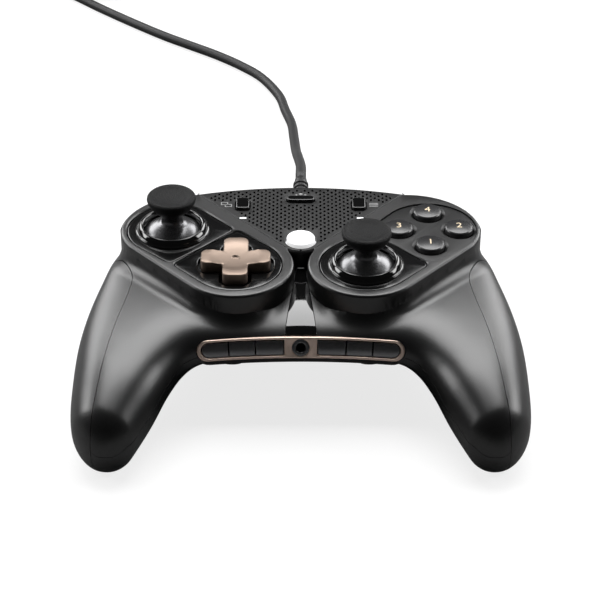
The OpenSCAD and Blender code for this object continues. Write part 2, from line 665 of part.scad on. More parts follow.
module main_board() color(board_tone) {
    translate([0, 0, main_board_top - board_t]) linear_extrude(board_t) {
        translate([-outer_x - 5, front_row_y - 10]) square([2 * outer_x + 10, back_row_y - front_row_y + 14]);
    }
    for (p = [[-outer_x, back_row_y], [inner_x, front_row_y], [-inner_x, front_row_y]])
        translate([p[0] - 5, p[1] - 2, main_board_top]) cube([10, 4, contact_h]);
}
socket_size = [9, 8, 3.4];
module upper_board() color(board_tone) {
    translate([0, 0, upper_board_top - board_t]) linear_extrude(board_t) difference() {
        union() {
            translate([-menu_x - 3.6, guide_y + 9]) square([2 * menu_x + 7.2, menu_y + 5 - guide_y - 9]);
            translate([0, guide_y]) circle(r = board_nose_r);
            translate([-board_nose_r, guide_y]) square([2 * board_nose_r, menu_y - guide_y]);
            translate([outer_x, back_row_y]) circle(r = cluster_plate_r - 1.5);
            translate([menu_x + 1, back_row_y - 1]) square([outer_x - menu_x - 1, 12]);
        }
        for (p = screw_places()) translate(p) circle(r = boss_r + 0.5);
    }
    for (x = [-menu_x, menu_x]) translate([x - 2, menu_y - 2, upper_board_top]) cube([4, 4, 1.2]);
    for (y = [share_y, guide_y]) translate([-2, y - 2, upper_board_top]) cube([4, 4, 1.2]);
    socket_y = menu_y + 5 - socket_size[1];
    socket_z = upper_board_top - board_t - socket_size[2];
    color(steel_tone) translate([-socket_size[0] / 2, socket_y, socket_z])
        difference() {
            cube(socket_size);
            translate([0.5, 2, 0.5]) cube([socket_size[0] - 1, socket_size[1], socket_size[2] - 1]);
        }
}
module housing_screws() color(steel_tone) for (p = screw_places()) translate([p[0], p[1], screw_seat_z]) {
    translate([0, 0, -screw_head_h]) difference() {
        cylinder(r = screw_head_r, h = screw_head_h);
        translate([0, 0, -0.1]) cylinder(r = 1.2, h = 1.1, $fn = 6);
    }
    cylinder(r = screw_r, h = parting_at(p[1]) + screw_bite - screw_seat_z);
}
module rumble_motors() color(steel_tone) for (side = [-1, 1]) translate(motor_place(side)) difference() {
    translate([side * motor_back, 0, 0]) rotate([0, -side * 90, 0]) cylinder(r = motor_r, h = motor_l);
    rotate([0, 90, 0]) cylinder(r = 1 + run_fit, h = 4 * motor_l, center = true);
}
module rumble_weight(side) color("#8d8f93") translate(motor_place(side)) rotate([0, -side * 90, 0]) {
    translate([0, 0, -motor_back + 2]) cylinder(r = 1, h = motor_back + weight_l - 1);
    translate([0, 0, motor_l - motor_back + weight_gap - 0.5]) difference() {
        cylinder(r = weight_r, h = weight_l);
        rotate([0, 0, side > 0 ? 0 : 180]) translate([2, -far / 2, -1]) cube([far, far, weight_l + 2]);
    }
}
module left_rumble_weight() rumble_weight(-1);
module right_rumble_weight() rumble_weight(1);

// Sticks, drawn round their own centre with the face at z = 0

cup_t = 1.4;
floor_t = 1.6;
click_travel = 0.5;
hub_r = 3;
gimbal_half = 6.8;
gimbal_window = 4.8;
gimbal_t = 3;
gimbal_pin_r = 1.2;
shaft_pin_r = 1.05;
upright = [2.2, 5.2];
upright_x = 7.6;
dome_t = 1.2;
dome_half_angle = 62;
stem_r = 3;
cap_t = 6.4;
collar_h = 2.9;
collar_hole_r = 10.4;

module module_cup(turn) {
    translate([0, 0, -plate_drop - plate_t]) linear_extrude(plate_t) turned(turn) difference() {
        plate_shape(plate_r);
        children(0);
    }
    difference() {
        translate([0, 0, -module_depth]) cylinder(r = cup_r, h = module_depth - plate_drop - plate_t);
        translate([0, 0, -module_depth + floor_t]) cylinder(r = cup_r - cup_t, h = module_depth);
    }
}
module stick_module(turn) color("#18191a") module_cup(turn) circle(r = collar_hole_r + 0.15);
module stick_collar() color(gloss_tone) translate([0, 0, -plate_drop]) rotate_extrude()
    polygon([[collar_d / 2, 0], [collar_d / 2, 0.8], [collar_d / 2 - 0.7, collar_h - 0.4],
        [collar_d / 2 - 1.4, collar_h], [collar_hole_r + 0.1, collar_h - 0.3], [collar_hole_r - 0.6, 0.9],
        [collar_hole_r - 0.7, -1.4], [collar_hole_r - 0.1, -1.4], [collar_hole_r, 0]]);
module stick_cradle() color("#c9c4b8") {
    low = -module_depth + floor_t + click_travel + ledge_gap;
    disc_t = 1.4;
    difference() {
        union() {
            translate([0, 0, low]) cylinder(r = cup_r - cup_t - ledge_gap, h = disc_t);
            for (side = [-1, 1]) translate([side * (upright_x + upright[0] / 2), 0, 0])
                translate([-upright[0] / 2, -upright[1] / 2, low])
                    cube([upright[0], upright[1], -pivot_depth + upright[1] / 2 - low]);
        }
        translate([0, 0, -pivot_depth]) rotate([0, 90, 0])
            cylinder(r = gimbal_pin_r + run_fit, h = far, center = true);
    }
}
module gimbal(half, window, thick, pin_r, reach, bore_r) difference() {
    union() {
        cube([2 * half, 2 * half, thick], center = true);
        rotate([0, 90, 0]) cylinder(r = pin_r, h = 2 * reach, center = true);
    }
    cube([2 * window, 2 * window, thick + 1], center = true);
    rotate([90, 0, 0]) cylinder(r = bore_r, h = 3 * half, center = true);
}
module stick_gimbal() color(steel_tone) translate([0, 0, -pivot_depth])
    gimbal(gimbal_half, gimbal_window, gimbal_t, gimbal_pin_r, upright_x + upright[0], shaft_pin_r + run_fit);
module stick_shaft() color(gloss_tone) translate([0, 0, -pivot_depth]) {
    cap_low = pivot_depth + stick_h - cap_t;
    translate([0, 0, -2.4]) cylinder(r = hub_r, h = dome_r + 1.8);
    rotate([90, 0, 0]) cylinder(r = shaft_pin_r, h = 2 * gimbal_half, center = true);
    difference() {
        sphere(r = dome_r);
        sphere(r = dome_r - dome_t);
        translate([-far, -far, -2 * far + dome_r * cos(dome_half_angle)]) cube(2 * far);
    }
    rotate_extrude() polygon([[0, dome_r - 0.9], [stem_r + 1.4, dome_r - 0.8], [stem_r + 0.1, dome_r + 2],
        [stem_r, dome_r + 4.5], [stem_r + 0.6, cap_low],
        [1.8, cap_low], [1.8, cap_low + 2.5], [0, cap_low + 2.5]]);
}
module stick_cap() color("#2a2b2d") translate([0, 0, stick_h - cap_t]) rotate_extrude()
    polygon([[1.85, 0], [stem_r + 0.6, 0], [stem_r + 2.4, 1.2], [cap_d / 2 - 0.6, 2], [cap_d / 2, 2.9],
        [cap_d / 2, cap_t - 1.1], [cap_d / 2 - 0.8, cap_t], [cap_d / 2 - 2, cap_t], [cap_d / 2 - 4, cap_t - 0.9],
        [0, cap_t - 1.2], [0, 2.6], [1.85, 2.6]]);
module left_stick_module() at_left_stick() stick_module(left_turn);
module left_stick_collar() at_left_stick() stick_collar();
module left_stick_cradle() at_left_stick() stick_cradle();
module left_stick_gimbal() at_left_stick() stick_gimbal();
module left_stick_shaft() at_left_stick() stick_shaft();
module left_stick_cap() at_left_stick() stick_cap();
module right_stick_module() at_right_stick() stick_module(right_turn);
module right_stick_collar() at_right_stick() stick_collar();
module right_stick_cradle() at_right_stick() stick_cradle();
module right_stick_gimbal() at_right_stick() stick_gimbal();
module right_stick_shaft() at_right_stick() stick_shaft();
module right_stick_cap() at_right_stick() stick_cap();

// Cross pad

dish_depth = 2.6;
dish_floor_t = 2;
dpad_pivot_depth = 7.4;
dpad_half = 5.2;
dpad_window = 3.4;
dpad_pin_r = 0.9;
dpad_hub_r = 2;
dpad_ear_x = 5.8;
dpad_ear = [1.8, 4];
cross_low = -1;
cross_high = 3.4;
cross_corner = 2.6;
cross_room = 1.2;
module cross_shape(grow) for (turn = [0, 90]) rotate([0, 0, turn])
    grown_rect([cross_d, cross_arm], cross_corner, grow);
module dpad_module() color("#18191a") at_pad() {
    floor_top = -plate_drop - dish_depth;
    module_cup(pad_turn) cross_shape(cross_room);
    translate([0, 0, floor_top - dish_floor_t]) difference() {
        cylinder(r = cup_r - cup_t / 2, h = dish_floor_t);
        translate([0, 0, -1]) cylinder(r = dpad_ear_x - gap, h = dish_floor_t + 2);
    }
    for (side = [-1, 1]) difference() {
        translate([side * (dpad_ear_x + dpad_ear[0] / 2) - dpad_ear[0] / 2, -dpad_ear[1] / 2,
                -dpad_pivot_depth - dpad_ear[1] / 2])
            cube([dpad_ear[0], dpad_ear[1], floor_top - dish_floor_t + dpad_pivot_depth + dpad_ear[1] / 2]);
        translate([0, 0, -dpad_pivot_depth]) rotate([0, 90, 0])
            cylinder(r = dpad_pin_r + run_fit, h = far, center = true);
    }
}
module dpad_pivot() color(steel_tone) at_pad() translate([0, 0, -dpad_pivot_depth])
    gimbal(dpad_half, dpad_window, 2.4, dpad_pin_r, dpad_ear_x + dpad_ear[0], dpad_pin_r - 0.1 + run_fit);
module dpad_cross() color(copper_tone) at_pad() {
    dish_ball = 40;
    difference() {
        translate([0, 0, cross_low]) linear_extrude(cross_high - cross_low) cross_shape(0);
        translate([0, 0, dish_ball + cross_high - 1.1]) sphere(r = dish_ball);
    }
    translate([0, 0, -dpad_pivot_depth]) {
        translate([0, 0, -1.2]) cylinder(r = dpad_hub_r, h = dpad_pivot_depth + cross_low + 1.4);
        rotate([90, 0, 0]) cylinder(r = dpad_pin_r - 0.1, h = 2 * dpad_half, center = true);
    }
}

// Buttons

flange_t = 1.3;
module button_plate() color("#161718") at_cluster() translate([0, 0, -plate_drop - plate_t])
    linear_extrude(plate_t)
    difference() {
        cluster_shape(0);
        each_face_button() circle(r = face_btn_d / 2 + gap);
    }
press_spare = 0.4;
module button_membrane() color("#9a9c9f") at_cluster() translate([0, 0, upper_board_top - face_z]) {
    dome_low = 0.5;
    cap_low = face_z - plate_drop - plate_t - ledge_gap - flange_t - upper_board_top;
    linear_extrude(2 * dome_low) {
        circle(r = cluster_r - 0.3);
        each_face_button() circle(r = 4.2);
    }
    each_face_button() translate([0, 0, dome_low])
        cylinder(r1 = 3.4, r2 = 2.6, h = cap_low - dome_low - face_btn_travel - press_spare);
}
module face_button(i) color("#3b3d40") at_cluster() rotate([0, 0, cluster_angles[i]]) translate([cluster_r, 0]) {
    low = -plate_drop - plate_t - ledge_gap - flange_t;
    intersection() {
        translate([0, 0, low]) cylinder(r = face_btn_d / 2, h = far);
        translate([0, 0, 2.7 - 24]) sphere(r = 24);
    }
    translate([0, 0, low]) cylinder(r = face_btn_d / 2 + flange, h = flange_t);
}
module face_button_front() face_button(0);
module face_button_right() face_button(1);
module face_button_left() face_button(2);
module face_button_back() face_button(3);

// A panel button: cap through the panel, lip under it, stem to its switch.
module panel_button(x, y) translate([x, y, face_z]) {
    lip_t = 1.2;
    translate([0, 0, -panel_t - ledge_gap - lip_t]) linear_extrude(panel_t + ledge_gap + lip_t + 1.1) children(0);
    translate([0, 0, -panel_t - ledge_gap - lip_t]) linear_extrude(lip_t) children(1);
    stem_low = upper_board_top - face_z + 1.2 + small_travel + ledge_gap;
    translate([0, 0, stem_low]) cylinder(r = 1.2, h = -panel_t - ledge_gap - stem_low);
}
module small_button(x) color(gloss_tone) panel_button(x, menu_y) {
    rounded_rect(small_cap, small_corner);
    grown_rect(small_cap, small_corner, 1);
}
module view_button() small_button(-menu_x);
module menu_button() small_button(menu_x);
module share_button() color(gloss_tone) panel_button(0, share_y) {
    rounded_rect(share_cap, share_cap[1] / 2 - 0.1);
    grown_rect(share_cap, share_cap[1] / 2 - 0.1, 1);
}
module guide_button() color("white") panel_button(0, guide_y) {
    circle(r = guide_d / 2);
    circle(r = guide_d / 2 + 1);
}

// Bumpers and triggers

module bumper(side) color("#1c1d1f") scale_side(side) difference() {
    union() {
        translate([0, 0, bumper_low]) linear_extrude(bumper_high - bumper_low) intersection() {
            difference() {
                bumper_back(bumper_gap + bumper_t);
                bumper_back(bumper_gap);
            }
            polygon([[bumper_pin_x, shoulder_y + shoulder_r * 0.6], [bumper_pin_x, far], [far, far],
                [shoulder_x + far * cos(bumper_end_angle), shoulder_y + far * sin(bumper_end_angle)],
                [shoulder_x, shoulder_y]]);
        }
        intersection() {
            translate([bumper_pin_x, face_back_y - 10, bumper_axis_z]) rotate([-90, 0, 0])
                cylinder(r = (bumper_high - bumper_low) / 2, h = 30);
            linear_extrude(far) difference() {
                bumper_back(bumper_gap + bumper_t);
                bumper_back(bumper_gap);
            }
        }
    }
    translate([bumper_pin_x, 0, bumper_axis_z]) rotate([-90, 0, 0]) cylinder(r = bumper_pin_r + run_fit, h = far);
}
module scale_side(side) mirror([side < 0 ? 1 : 0, 0, 0]) children();
module bumper_back(grow) {
    translate([shoulder_x, shoulder_y]) circle(r = shoulder_r + grow);
    intersection() {
        translate([0, face_back_y - back_arc_r]) circle(r = back_arc_r + grow);
        translate([0, back_row_y]) square([panel_corner_x, far]);
    }
}
module left_bumper() bumper(-1);
module right_bumper() bumper(1);
module hinge_pins() color(steel_tone) for (side = [-1, 1]) {
    y = back_edge_y(bumper_pin_x);
    translate([side * bumper_pin_x, y - wall - 1, bumper_axis_z]) rotate([-90, 0, 0])
        cylinder(r = bumper_pin_r, h = wall + 1 + bumper_gap + bumper_t);
    at_trigger(side) rotate([0, 90, 0])
        cylinder(r = trigger_pin_r, h = trigger_w + 2 * (ear_gap + ear_t), center = true);
}
module trigger(side) color("#1c1d1f") at_trigger(side) difference() {
    rotate([90, 0, 90]) translate([0, 0, -trigger_w / 2]) linear_extrude(trigger_w)
        polygon(smooth_closed(trigger_outline, 3));
    rotate([0, 90, 0]) cylinder(r = trigger_pin_r + run_fit, h = far, center = true);
    translate([trigger_w / 2 - spring_room, 0, 0]) rotate([0, 90, 0]) cylinder(r = 4.4, h = spring_room + 1);
}
module left_trigger() trigger(-1);
module right_trigger() trigger(1);
module trigger_brackets() color(steel_tone) for (side = [-1, 1]) at_trigger(side) {
    half = trigger_w / 2 + ear_gap + ear_t;
    back = bracket_y - trigger_y;
    difference() {
        for (s = [-1, 1]) translate([s * (half - ear_t / 2) - ear_t / 2, back, -ear_r])
            cube([ear_t, ear_r - back, 2 * ear_r]);
        rotate([0, 90, 0]) cylinder(r = trigger_pin_r + 0.02, h = far, center = true);
    }
    translate([-half, back - bracket_t, well_low + 0.3 - trigger_z])
        cube([2 * half, bracket_t + 0.01, upper_board_top - board_t - 0.5 - well_low - 0.3]);
}
module trigger_springs() color(steel_tone) for (side = [-1, 1]) at_trigger(side) {
    rings = 8 * spring_turns;
    r = trigger_pin_r + 0.3 + spring_wire / 2;
    start = trigger_w / 2 - spring_room + ear_gap + spring_wire;
    reach = spring_room - 2 * ear_gap - 2 * spring_wire;
    coil = [for (i = [0:rings]) [start + reach * i / rings, r * cos(45 * i), r * sin(45 * i)]];
    skin([for (i = [0:rings]) let (w = way_on(coil, i), u = unit(cross(w, [1, 0, 0])), v = cross(u, w))
        [for (j = [0:5]) coil[i] + spring_wire / 2 * (cos(60 * j) * u + sin(60 * j) * v)]]);
}

// Rear buttons

module rear_button(i, side) color("#2a2b2d") at_rear(i, side) {
    inside = wall + 0.9;
    translate([0, 0, -2.2]) linear_extrude(inside + 2.2 + 1) pill(rear_pill, 0);
    translate([0, 0, inside]) linear_extrude(1) pill(rear_pill, 1.2);
}
module rear_button_1() rear_button(0, -1);
module rear_button_2() rear_button(0, 1);
module rear_button_3() rear_button(1, -1);
module rear_button_4() rear_button(1, 1);

// Cord and its ends

module cable_boot() color("#1a1a1b") translate([0, boot_end_y - boot_l, cord_z]) rotate([-90, 0, 0]) {
    rotate_extrude() polygon([[0, -5], [2.2, -5], [2.2, 0], [4.6, 0], [4.6, 8], [3.9, 9.5], [3.5, 12], [4.1, 12.4],
        [4.1, 14.2], [3.3, 14.6], [3.2, 17.2], [3.7, 17.6], [3.7, 19.2], [2.9, 19.6],
        [cord_d / 2 + 0.4, boot_l], [0, boot_l]]);
}
module cord() color("#3a3b3d") {
    skin(tube_rings(run_line, cord_d / 2, 8));
    skin(tube_rings(tail_line, cord_d / 2, 8));
}
module cord_coil() color("#3a3b3d") skin(tube_rings(coil_line, cord_d / 2, 6));
module usb_plug() {
    heading = atan2(plug_way[1], plug_way[0]);
    translate(tail_end) rotate([0, 0, heading]) {
        color("#1a1a1b") {
            rotate([0, 90, 0]) cylinder(r1 = cord_d / 2 + 0.3, r2 = 3, h = plug_relief);
            translate([plug_relief, -plug_size[1] / 2, -plug_size[2] / 2]) cube(plug_size);
        }
        color(steel_tone)
            translate([plug_relief + plug_size[0], -usb_shell[1] / 2, -usb_shell[2] / 2])
            difference() {
                cube(usb_shell);
                translate([1, 0.4, 2.2]) cube([usb_shell[0], usb_shell[1] - 0.8, usb_shell[2] - 2.6]);
            }
    }
}

top_shell();
bottom_shell();
left_side_grip();
right_side_grip();
centre_panel();
centre_strip();
front_bezel();
headset_jack();
main_board();
upper_board();
housing_screws();
rumble_motors();
left_rumble_weight();
right_rumble_weight();
left_stick_module();
left_stick_collar();
left_stick_cradle();
left_stick_gimbal();
left_stick_shaft();
left_stick_cap();
right_stick_module();
right_stick_collar();
right_stick_cradle();
right_stick_gimbal();
right_stick_shaft();
right_stick_cap();
dpad_module();
dpad_pivot();
dpad_cross();
button_plate();
button_membrane();
face_button_front();
face_button_right();
face_button_left();
face_button_back();
view_button();
menu_button();
share_button();
guide_button();
bar_button_1();
bar_button_2();
bar_button_3();
bar_button_4();
bar_button_5();
bar_button_6();
left_bumper();
right_bumper();
hinge_pins();
left_trigger();
right_trigger();
trigger_brackets();
trigger_springs();
rear_button_1();
rear_button_2();
rear_button_3();
rear_button_4();
cable_boot();
cord();
cord_coil();
usb_plug();
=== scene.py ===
# %% [markdown]
# # A wired gamepad
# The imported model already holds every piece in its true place. This lesson gives the pieces
# their finer shape and finish, and leaves the places alone. Lengths are written in
# millimetres, and one factor turns them into metres when a piece is finished.

# %% Load the frame
import json
import math
import bmesh
import bpy
from mathutils import Matrix, Vector


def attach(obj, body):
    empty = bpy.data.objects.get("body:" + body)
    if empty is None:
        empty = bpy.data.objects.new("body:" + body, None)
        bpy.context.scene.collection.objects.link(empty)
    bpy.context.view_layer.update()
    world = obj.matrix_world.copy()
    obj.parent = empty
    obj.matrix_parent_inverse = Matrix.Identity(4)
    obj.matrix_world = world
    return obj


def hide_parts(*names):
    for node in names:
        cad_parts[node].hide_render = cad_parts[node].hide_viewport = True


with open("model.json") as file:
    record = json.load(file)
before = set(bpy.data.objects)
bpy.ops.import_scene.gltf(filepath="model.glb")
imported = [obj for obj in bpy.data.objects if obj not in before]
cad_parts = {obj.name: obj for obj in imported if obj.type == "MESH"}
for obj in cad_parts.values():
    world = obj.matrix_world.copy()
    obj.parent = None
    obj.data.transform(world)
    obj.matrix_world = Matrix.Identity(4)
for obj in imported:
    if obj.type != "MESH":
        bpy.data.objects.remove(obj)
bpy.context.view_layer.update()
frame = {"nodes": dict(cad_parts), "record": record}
MM = 0.001
scene = bpy.context.scene
print("nodes in the frame:", len(frame["nodes"]))

# %% [markdown]
# ## Camera
# A long lens from the front, looking down at a good third of a right angle, as in the
# photograph.

# %% Camera
CAMERA_AT, LOOK_DOWN = (0, -0.59567, 0.43947), 34.3
LENS, LENS_SHIFT = 120.1, -0.0013
camera = bpy.data.objects.new("camera", bpy.data.cameras.new("camera"))
camera.data.sensor_width = 36
camera.data.lens = LENS
camera.data.shift_x = LENS_SHIFT
camera.location = CAMERA_AT
camera.rotation_euler = (math.radians(90 - LOOK_DOWN), 0, 0)
scene.collection.objects.link(camera)
scene.camera = camera
print("camera at", [round(c, 3) for c in camera.location])

# %% [markdown]
# ## Sizes
# The numbers that several steps share: heights of the faces, places of the controls and of
# the bar, and the table of cross sections that the body is drawn through.

# %% Sizes
FACE_Z, SADDLE_Z, WALL, DECK = 45.0, 37.5, 2.2, 6.0
OUTER_X, INNER_X, BACK_Y, FRONT_Y = 47.3, 23.4, 29.3, 5.8
FACE_BACK_Y, BAR_Y, BAR_LEAN = 59.3, -23.8, 70
SIDES = {"left": -1, "right": 1}
STICKS = {"left": (-OUTER_X, BACK_Y), "right": (INNER_X, FRONT_Y)}
PAD, CLUSTER = (-INNER_X, FRONT_Y), (OUTER_X, BACK_Y)
GUIDE_Y, MENU_X, MENU_Y, SHARE_Y, LIGHT_Y = 21.6, 21.8, 46.0, 49.6, 36.6
# Outer x and y, inner x and y, outer and inner edge, crown, outer and inner keel, squareness
BODY = [
    (-77.0, -61.0, -60.0, -64.5, 12.0, 12.0, SADDLE_Z - 15.0, -1.0, 0.5, 2.1),
    (-79.6, -48.0, -55.5, -55.5, 14.0, 14.0, SADDLE_Z - 10.0, -1.4, 0.1, 2.1),
    (-80.0, -34.0, -50.5, -45.5, 17.0, 17.0, SADDLE_Z - 6.0, -0.6, 3.0, 2.2),
    (-79.2, -18.0, -45.8, -35.5, 21.5, 20.0, SADDLE_Z - 3.5, 2.5, 9.0, 2.3),
    (-76.8, -3.0, -41.0, -28.5, 25.5, 22.5, SADDLE_Z - 2.0, 5.0, 14.5, 2.5),
    (-73.0, 13.0, -35.5, -25.0, 29.0, 24.0, SADDLE_Z - 1.0, 5.0, 18.5, 2.7),
    (-69.0, 28.0, -28.0, -24.0, 30.5, 24.5, SADDLE_Z - 0.5, 3.0, 20.5, 2.9),
    (-61.0, 44.0, -21.0, BAR_Y, 30.5, 24.8, SADDLE_Z - 0.2, -2.0, 21.0, 3.0),
    (-42.0, 53.0, -14.0, BAR_Y, 30.0, 25.0, SADDLE_Z, -7.0, 21.3, 3.0),
    (-21.0, 57.0, -7.0, BAR_Y, 30.0, 25.0, SADDLE_Z, -9.0, 21.5, 3.0),
    (0.0, 58.0, 0.0, BAR_Y, 30.0, 25.0, SADDLE_Z, -9.5, 21.5, 3.0),
]
LAST = len(BODY) - 1
print("cross sections:", len(BODY))

# %% [markdown]
# ## Smooth lines
# Cord, body and triggers run smoothly through a few chosen points. A curve object could do
# it, but a formula gives the same value to a cut and to the piece that fits into it.


# %% Smooth lines
def ease(a, b, c, d, f):
    """A smooth value between b and c, from four neighbours in a row."""
    return 0.5 * (2 * b + (c - a) * f + (2 * a - 5 * b + 4 * c - d) * f * f
                  + (3 * b - a - 3 * c + d) * f ** 3)


def smooth_line(points, steps):
    """An open smooth line through a few points."""
    p = [Vector(q) for q in points]
    p = [2 * p[0] - p[1], *p, 2 * p[-1] - p[-2]]
    line = [ease(*p[i:i + 4], k / steps) for i in range(len(p) - 3) for k in range(steps)]
    return line + [p[-2]]


print("halfway from 1 to 2:", ease(0, 1, 2, 3, 0.5))

# %% [markdown]
# ## Route of the cord
# The cord runs from the boot down to the table and lies in a flat coil behind the pad, with
# the plug on its far end. The free stretch is a list of chosen points. The coil's turns follow
# a formula, layer upon layer, so that neighbouring turns keep their distance.

# %% Route of the cord
CORD_D, FLOOR, CORD_EXIT = 4.2, 2.1, (0, 57.6, 33.4)
COIL_AT, COIL_R, COIL_START = Vector((-102, 352, 0)), 35, 226.6
COIL_PITCH, COIL_TURNS, COIL_LAYERS, COIL_POINTS = 4.7, 3.485, 4, 560
LAYER_CHANGE = 0.5
LAYER_TURNS = COIL_TURNS + LAYER_CHANGE
ALL_TURNS = COIL_LAYERS * COIL_TURNS + (COIL_LAYERS - 1) * LAYER_CHANGE


def coil_point(turns):
    """A place on the coil: layers wind inwards and outwards by turns."""
    k, f = divmod(turns + LAYER_CHANGE / 2, LAYER_TURNS)
    r = COIL_R + COIL_PITCH * LAYER_CHANGE / 2 - COIL_PITCH * (f if k % 2 == 0 else LAYER_TURNS - f)
    k, f = divmod(turns, LAYER_TURNS)
    z = FLOOR + COIL_PITCH * (k + min(1, max(0, (f - COIL_TURNS) / LAYER_CHANGE)))
    a = math.radians(COIL_START - 360 * turns)
    return COIL_AT + Vector((r * math.cos(a), r * math.sin(a), z))


coil = [coil_point(ALL_TURNS * i / COIL_POINTS) for i in range(COIL_POINTS + 1)]
run = [CORD_EXIT, (0, 70, 33.4), (0, 83.6, 33.4), (0, 88, 33.4), (0, 101, 29.5), (-1, 117, 24),
       (-2, 135, 17), (-3, 160, 9.5), (-4, 179, 5), (-7, 196, 2.8), (-10, 211, FLOOR), (-18, 228, FLOOR),
       (-28, 240, FLOOR), (-40, 251, FLOOR), (-53, 261, FLOOR), (-66, 271, FLOOR), (-83, 286, FLOOR),
       (-99, 301, FLOOR), (-113, 315, FLOOR)]
end = math.radians(COIL_START - 360 * ALL_TURNS)
PLUG_WAY = Vector((math.sin(end), -math.cos(end), 0))
PLUG_SIDE = Vector((PLUG_WAY.y, -PLUG_WAY.x, 0))
foot = COIL_AT + COIL_R * Vector((math.cos(end), math.sin(end), 0))
top = FLOOR + COIL_PITCH * (COIL_LAYERS - 1)
# Along the plug's way, beside it, and height
TAIL = [(10, 0, top - 0.2), (18, 0, top - 1.6), (26, 0.1, 11.1), (34, 0.3, 6.75), (43, 0.6, 3.23),
        (54, 0.8, FLOOR + 0.1), (72, -0.6, FLOOR), (92, -4, 3.6), (101, -6, 4)]
tail = [coil[-1]]
for along, aside, z in TAIL:
    tail.append(foot + along * PLUG_WAY + aside * PLUG_SIDE + Vector((0, 0, z)))
PLUG_AT = tail[-1]
cord_line = smooth_line([*run, coil[0]], 5)[:-1] + coil[:-1] + smooth_line(tail, 6)
cord_length = sum((b - a).length for a, b in zip(cord_line, cord_line[1:])) * MM
print("cord length in metres:", round(cord_length, 3))

# %% [markdown]
# ## Cord
# A round rubber lead. It could be a swept mesh, but a curve with a round bevel keeps its
# centreline exact, and that line is what its length is measured on. The thickness is given to
# the points, with a bevel of one, because the curve's box is grown by the points' radius.

# %% Cord
curve = bpy.data.curves.new("cord", "CURVE")
curve.dimensions = "3D"
spline = curve.splines.new("POLY")
spline.points.add(len(cord_line) - 1)
for point, place in zip(spline.points, cord_line):
    point.co = (*(place * MM), 1)
    point.radius = CORD_D / 2 * MM
curve.bevel_depth = 1.0
curve.bevel_resolution = 4
curve.use_fill_caps = True
spline.use_smooth = True
cord = bpy.data.objects.new("cord_line", curve)
scene.collection.objects.link(cord)
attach(cord, "housing")
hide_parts("cord", "cord_coil")
print("points of the cord:", len(spline.points))

# %% [markdown]
# ## Shader values
# A finish is a small net of shader nodes. The nodes could be placed and linked one by one, but
# one wrapper class lets a net be written as plain sums and products, which are easier to read.


# %% Shader values
class Value:
    """One shader value; signs of arithmetic make the maths nodes."""

    def __init__(self, tree, socket=None):
        self.tree, self.socket = tree, socket

    def node(self, kind, inputs=(), out=0, **settings):
        """Any node: settings are its properties, inputs its sockets by name or number."""
        made = self.tree.nodes.new("ShaderNode" + kind)
        for key, value in settings.items():
            setattr(made, key, value)
        for key, value in dict(inputs).items():
            if isinstance(value, Value):
                self.tree.links.new(value.socket, made.inputs[key])
            else:
                made.inputs[key].default_value = value
        return Value(self.tree, made.outputs[out])

    def math(self, kind, other, swap=False):
        pair = (other, self) if swap else (self, other)
        return self.node("Math", enumerate(pair), operation=kind)

    def __add__(self, other):
        return self.math("ADD", other)

    def __sub__(self, other):
        return self.math("SUBTRACT", other)

    def __mul__(self, other):
        return self.math("MULTIPLY", other)

    def __rsub__(self, other):
        return self.math("SUBTRACT", other, swap=True)

    __radd__, __rmul__ = __add__, __mul__


def net_of(name):
    """A new material with its net and the net's main shader."""
    mat = bpy.data.materials.new(name)
    mat.use_nodes = True
    return mat, mat.node_tree, mat.node_tree.nodes["Principled BSDF"].inputs


print("signs that make nodes: + - *")

# %% [markdown]
# ## Finishes
# The real pad is moulded in black plastics that differ only in gloss and grain, with copper
# and grey trims. Each could be one flat colour, but moulded plastic is never that even: tone
# and gloss drift a little, and a fine grain breaks the highlight. The grain is taken from the
# object's own coordinates, so it stays on the piece when the piece moves.

# %% Finishes
FINISH = {}
BROAD_SCALE, BROAD_RUB, FINE_RUB, COAT_ROUGH, GLOW = 55.0, 0.08, 0.06, 0.06, 0.55


def finish(name, tone, rough, grain=0.25, depth=0.0, metal=0.0, coat=0.0, spread=0.08, shine=0.5):
    """A finish: tone with a slight drift, fine grain of a size in mm, and a coat."""
    FINISH[name], tree, shader = net_of(name)
    start = Value(tree)
    where = start.node("TexCoord", out="Object")
    fine = start.node("TexNoise", {"Vector": where, "Scale": 1 / (grain * MM), "Detail": 2.0})
    broad = start.node("TexNoise", {"Vector": where, "Scale": BROAD_SCALE, "Detail": 3.0})
    drift = 1.0 + (fine - 0.5) * spread + (broad - 0.5) * spread
    scale = start.node("VectorMath", {0: tone, "Scale": drift}, operation="SCALE")
    tree.links.new(scale.socket, shader["Base Color"])
    rub = rough + (broad - 0.5) * BROAD_RUB + (fine - 0.5) * FINE_RUB
    tree.links.new(rub.socket, shader["Roughness"])
    if depth:
        bump = start.node("Bump", {"Height": fine, "Strength": depth, "Distance": grain * MM})
        tree.links.new(bump.socket, shader["Normal"])
    shader["Metallic"].default_value = metal
    shader["Coat Weight"].default_value = coat
    shader["Coat Roughness"].default_value = COAT_ROUGH
    shader["Specular IOR Level"].default_value = shine


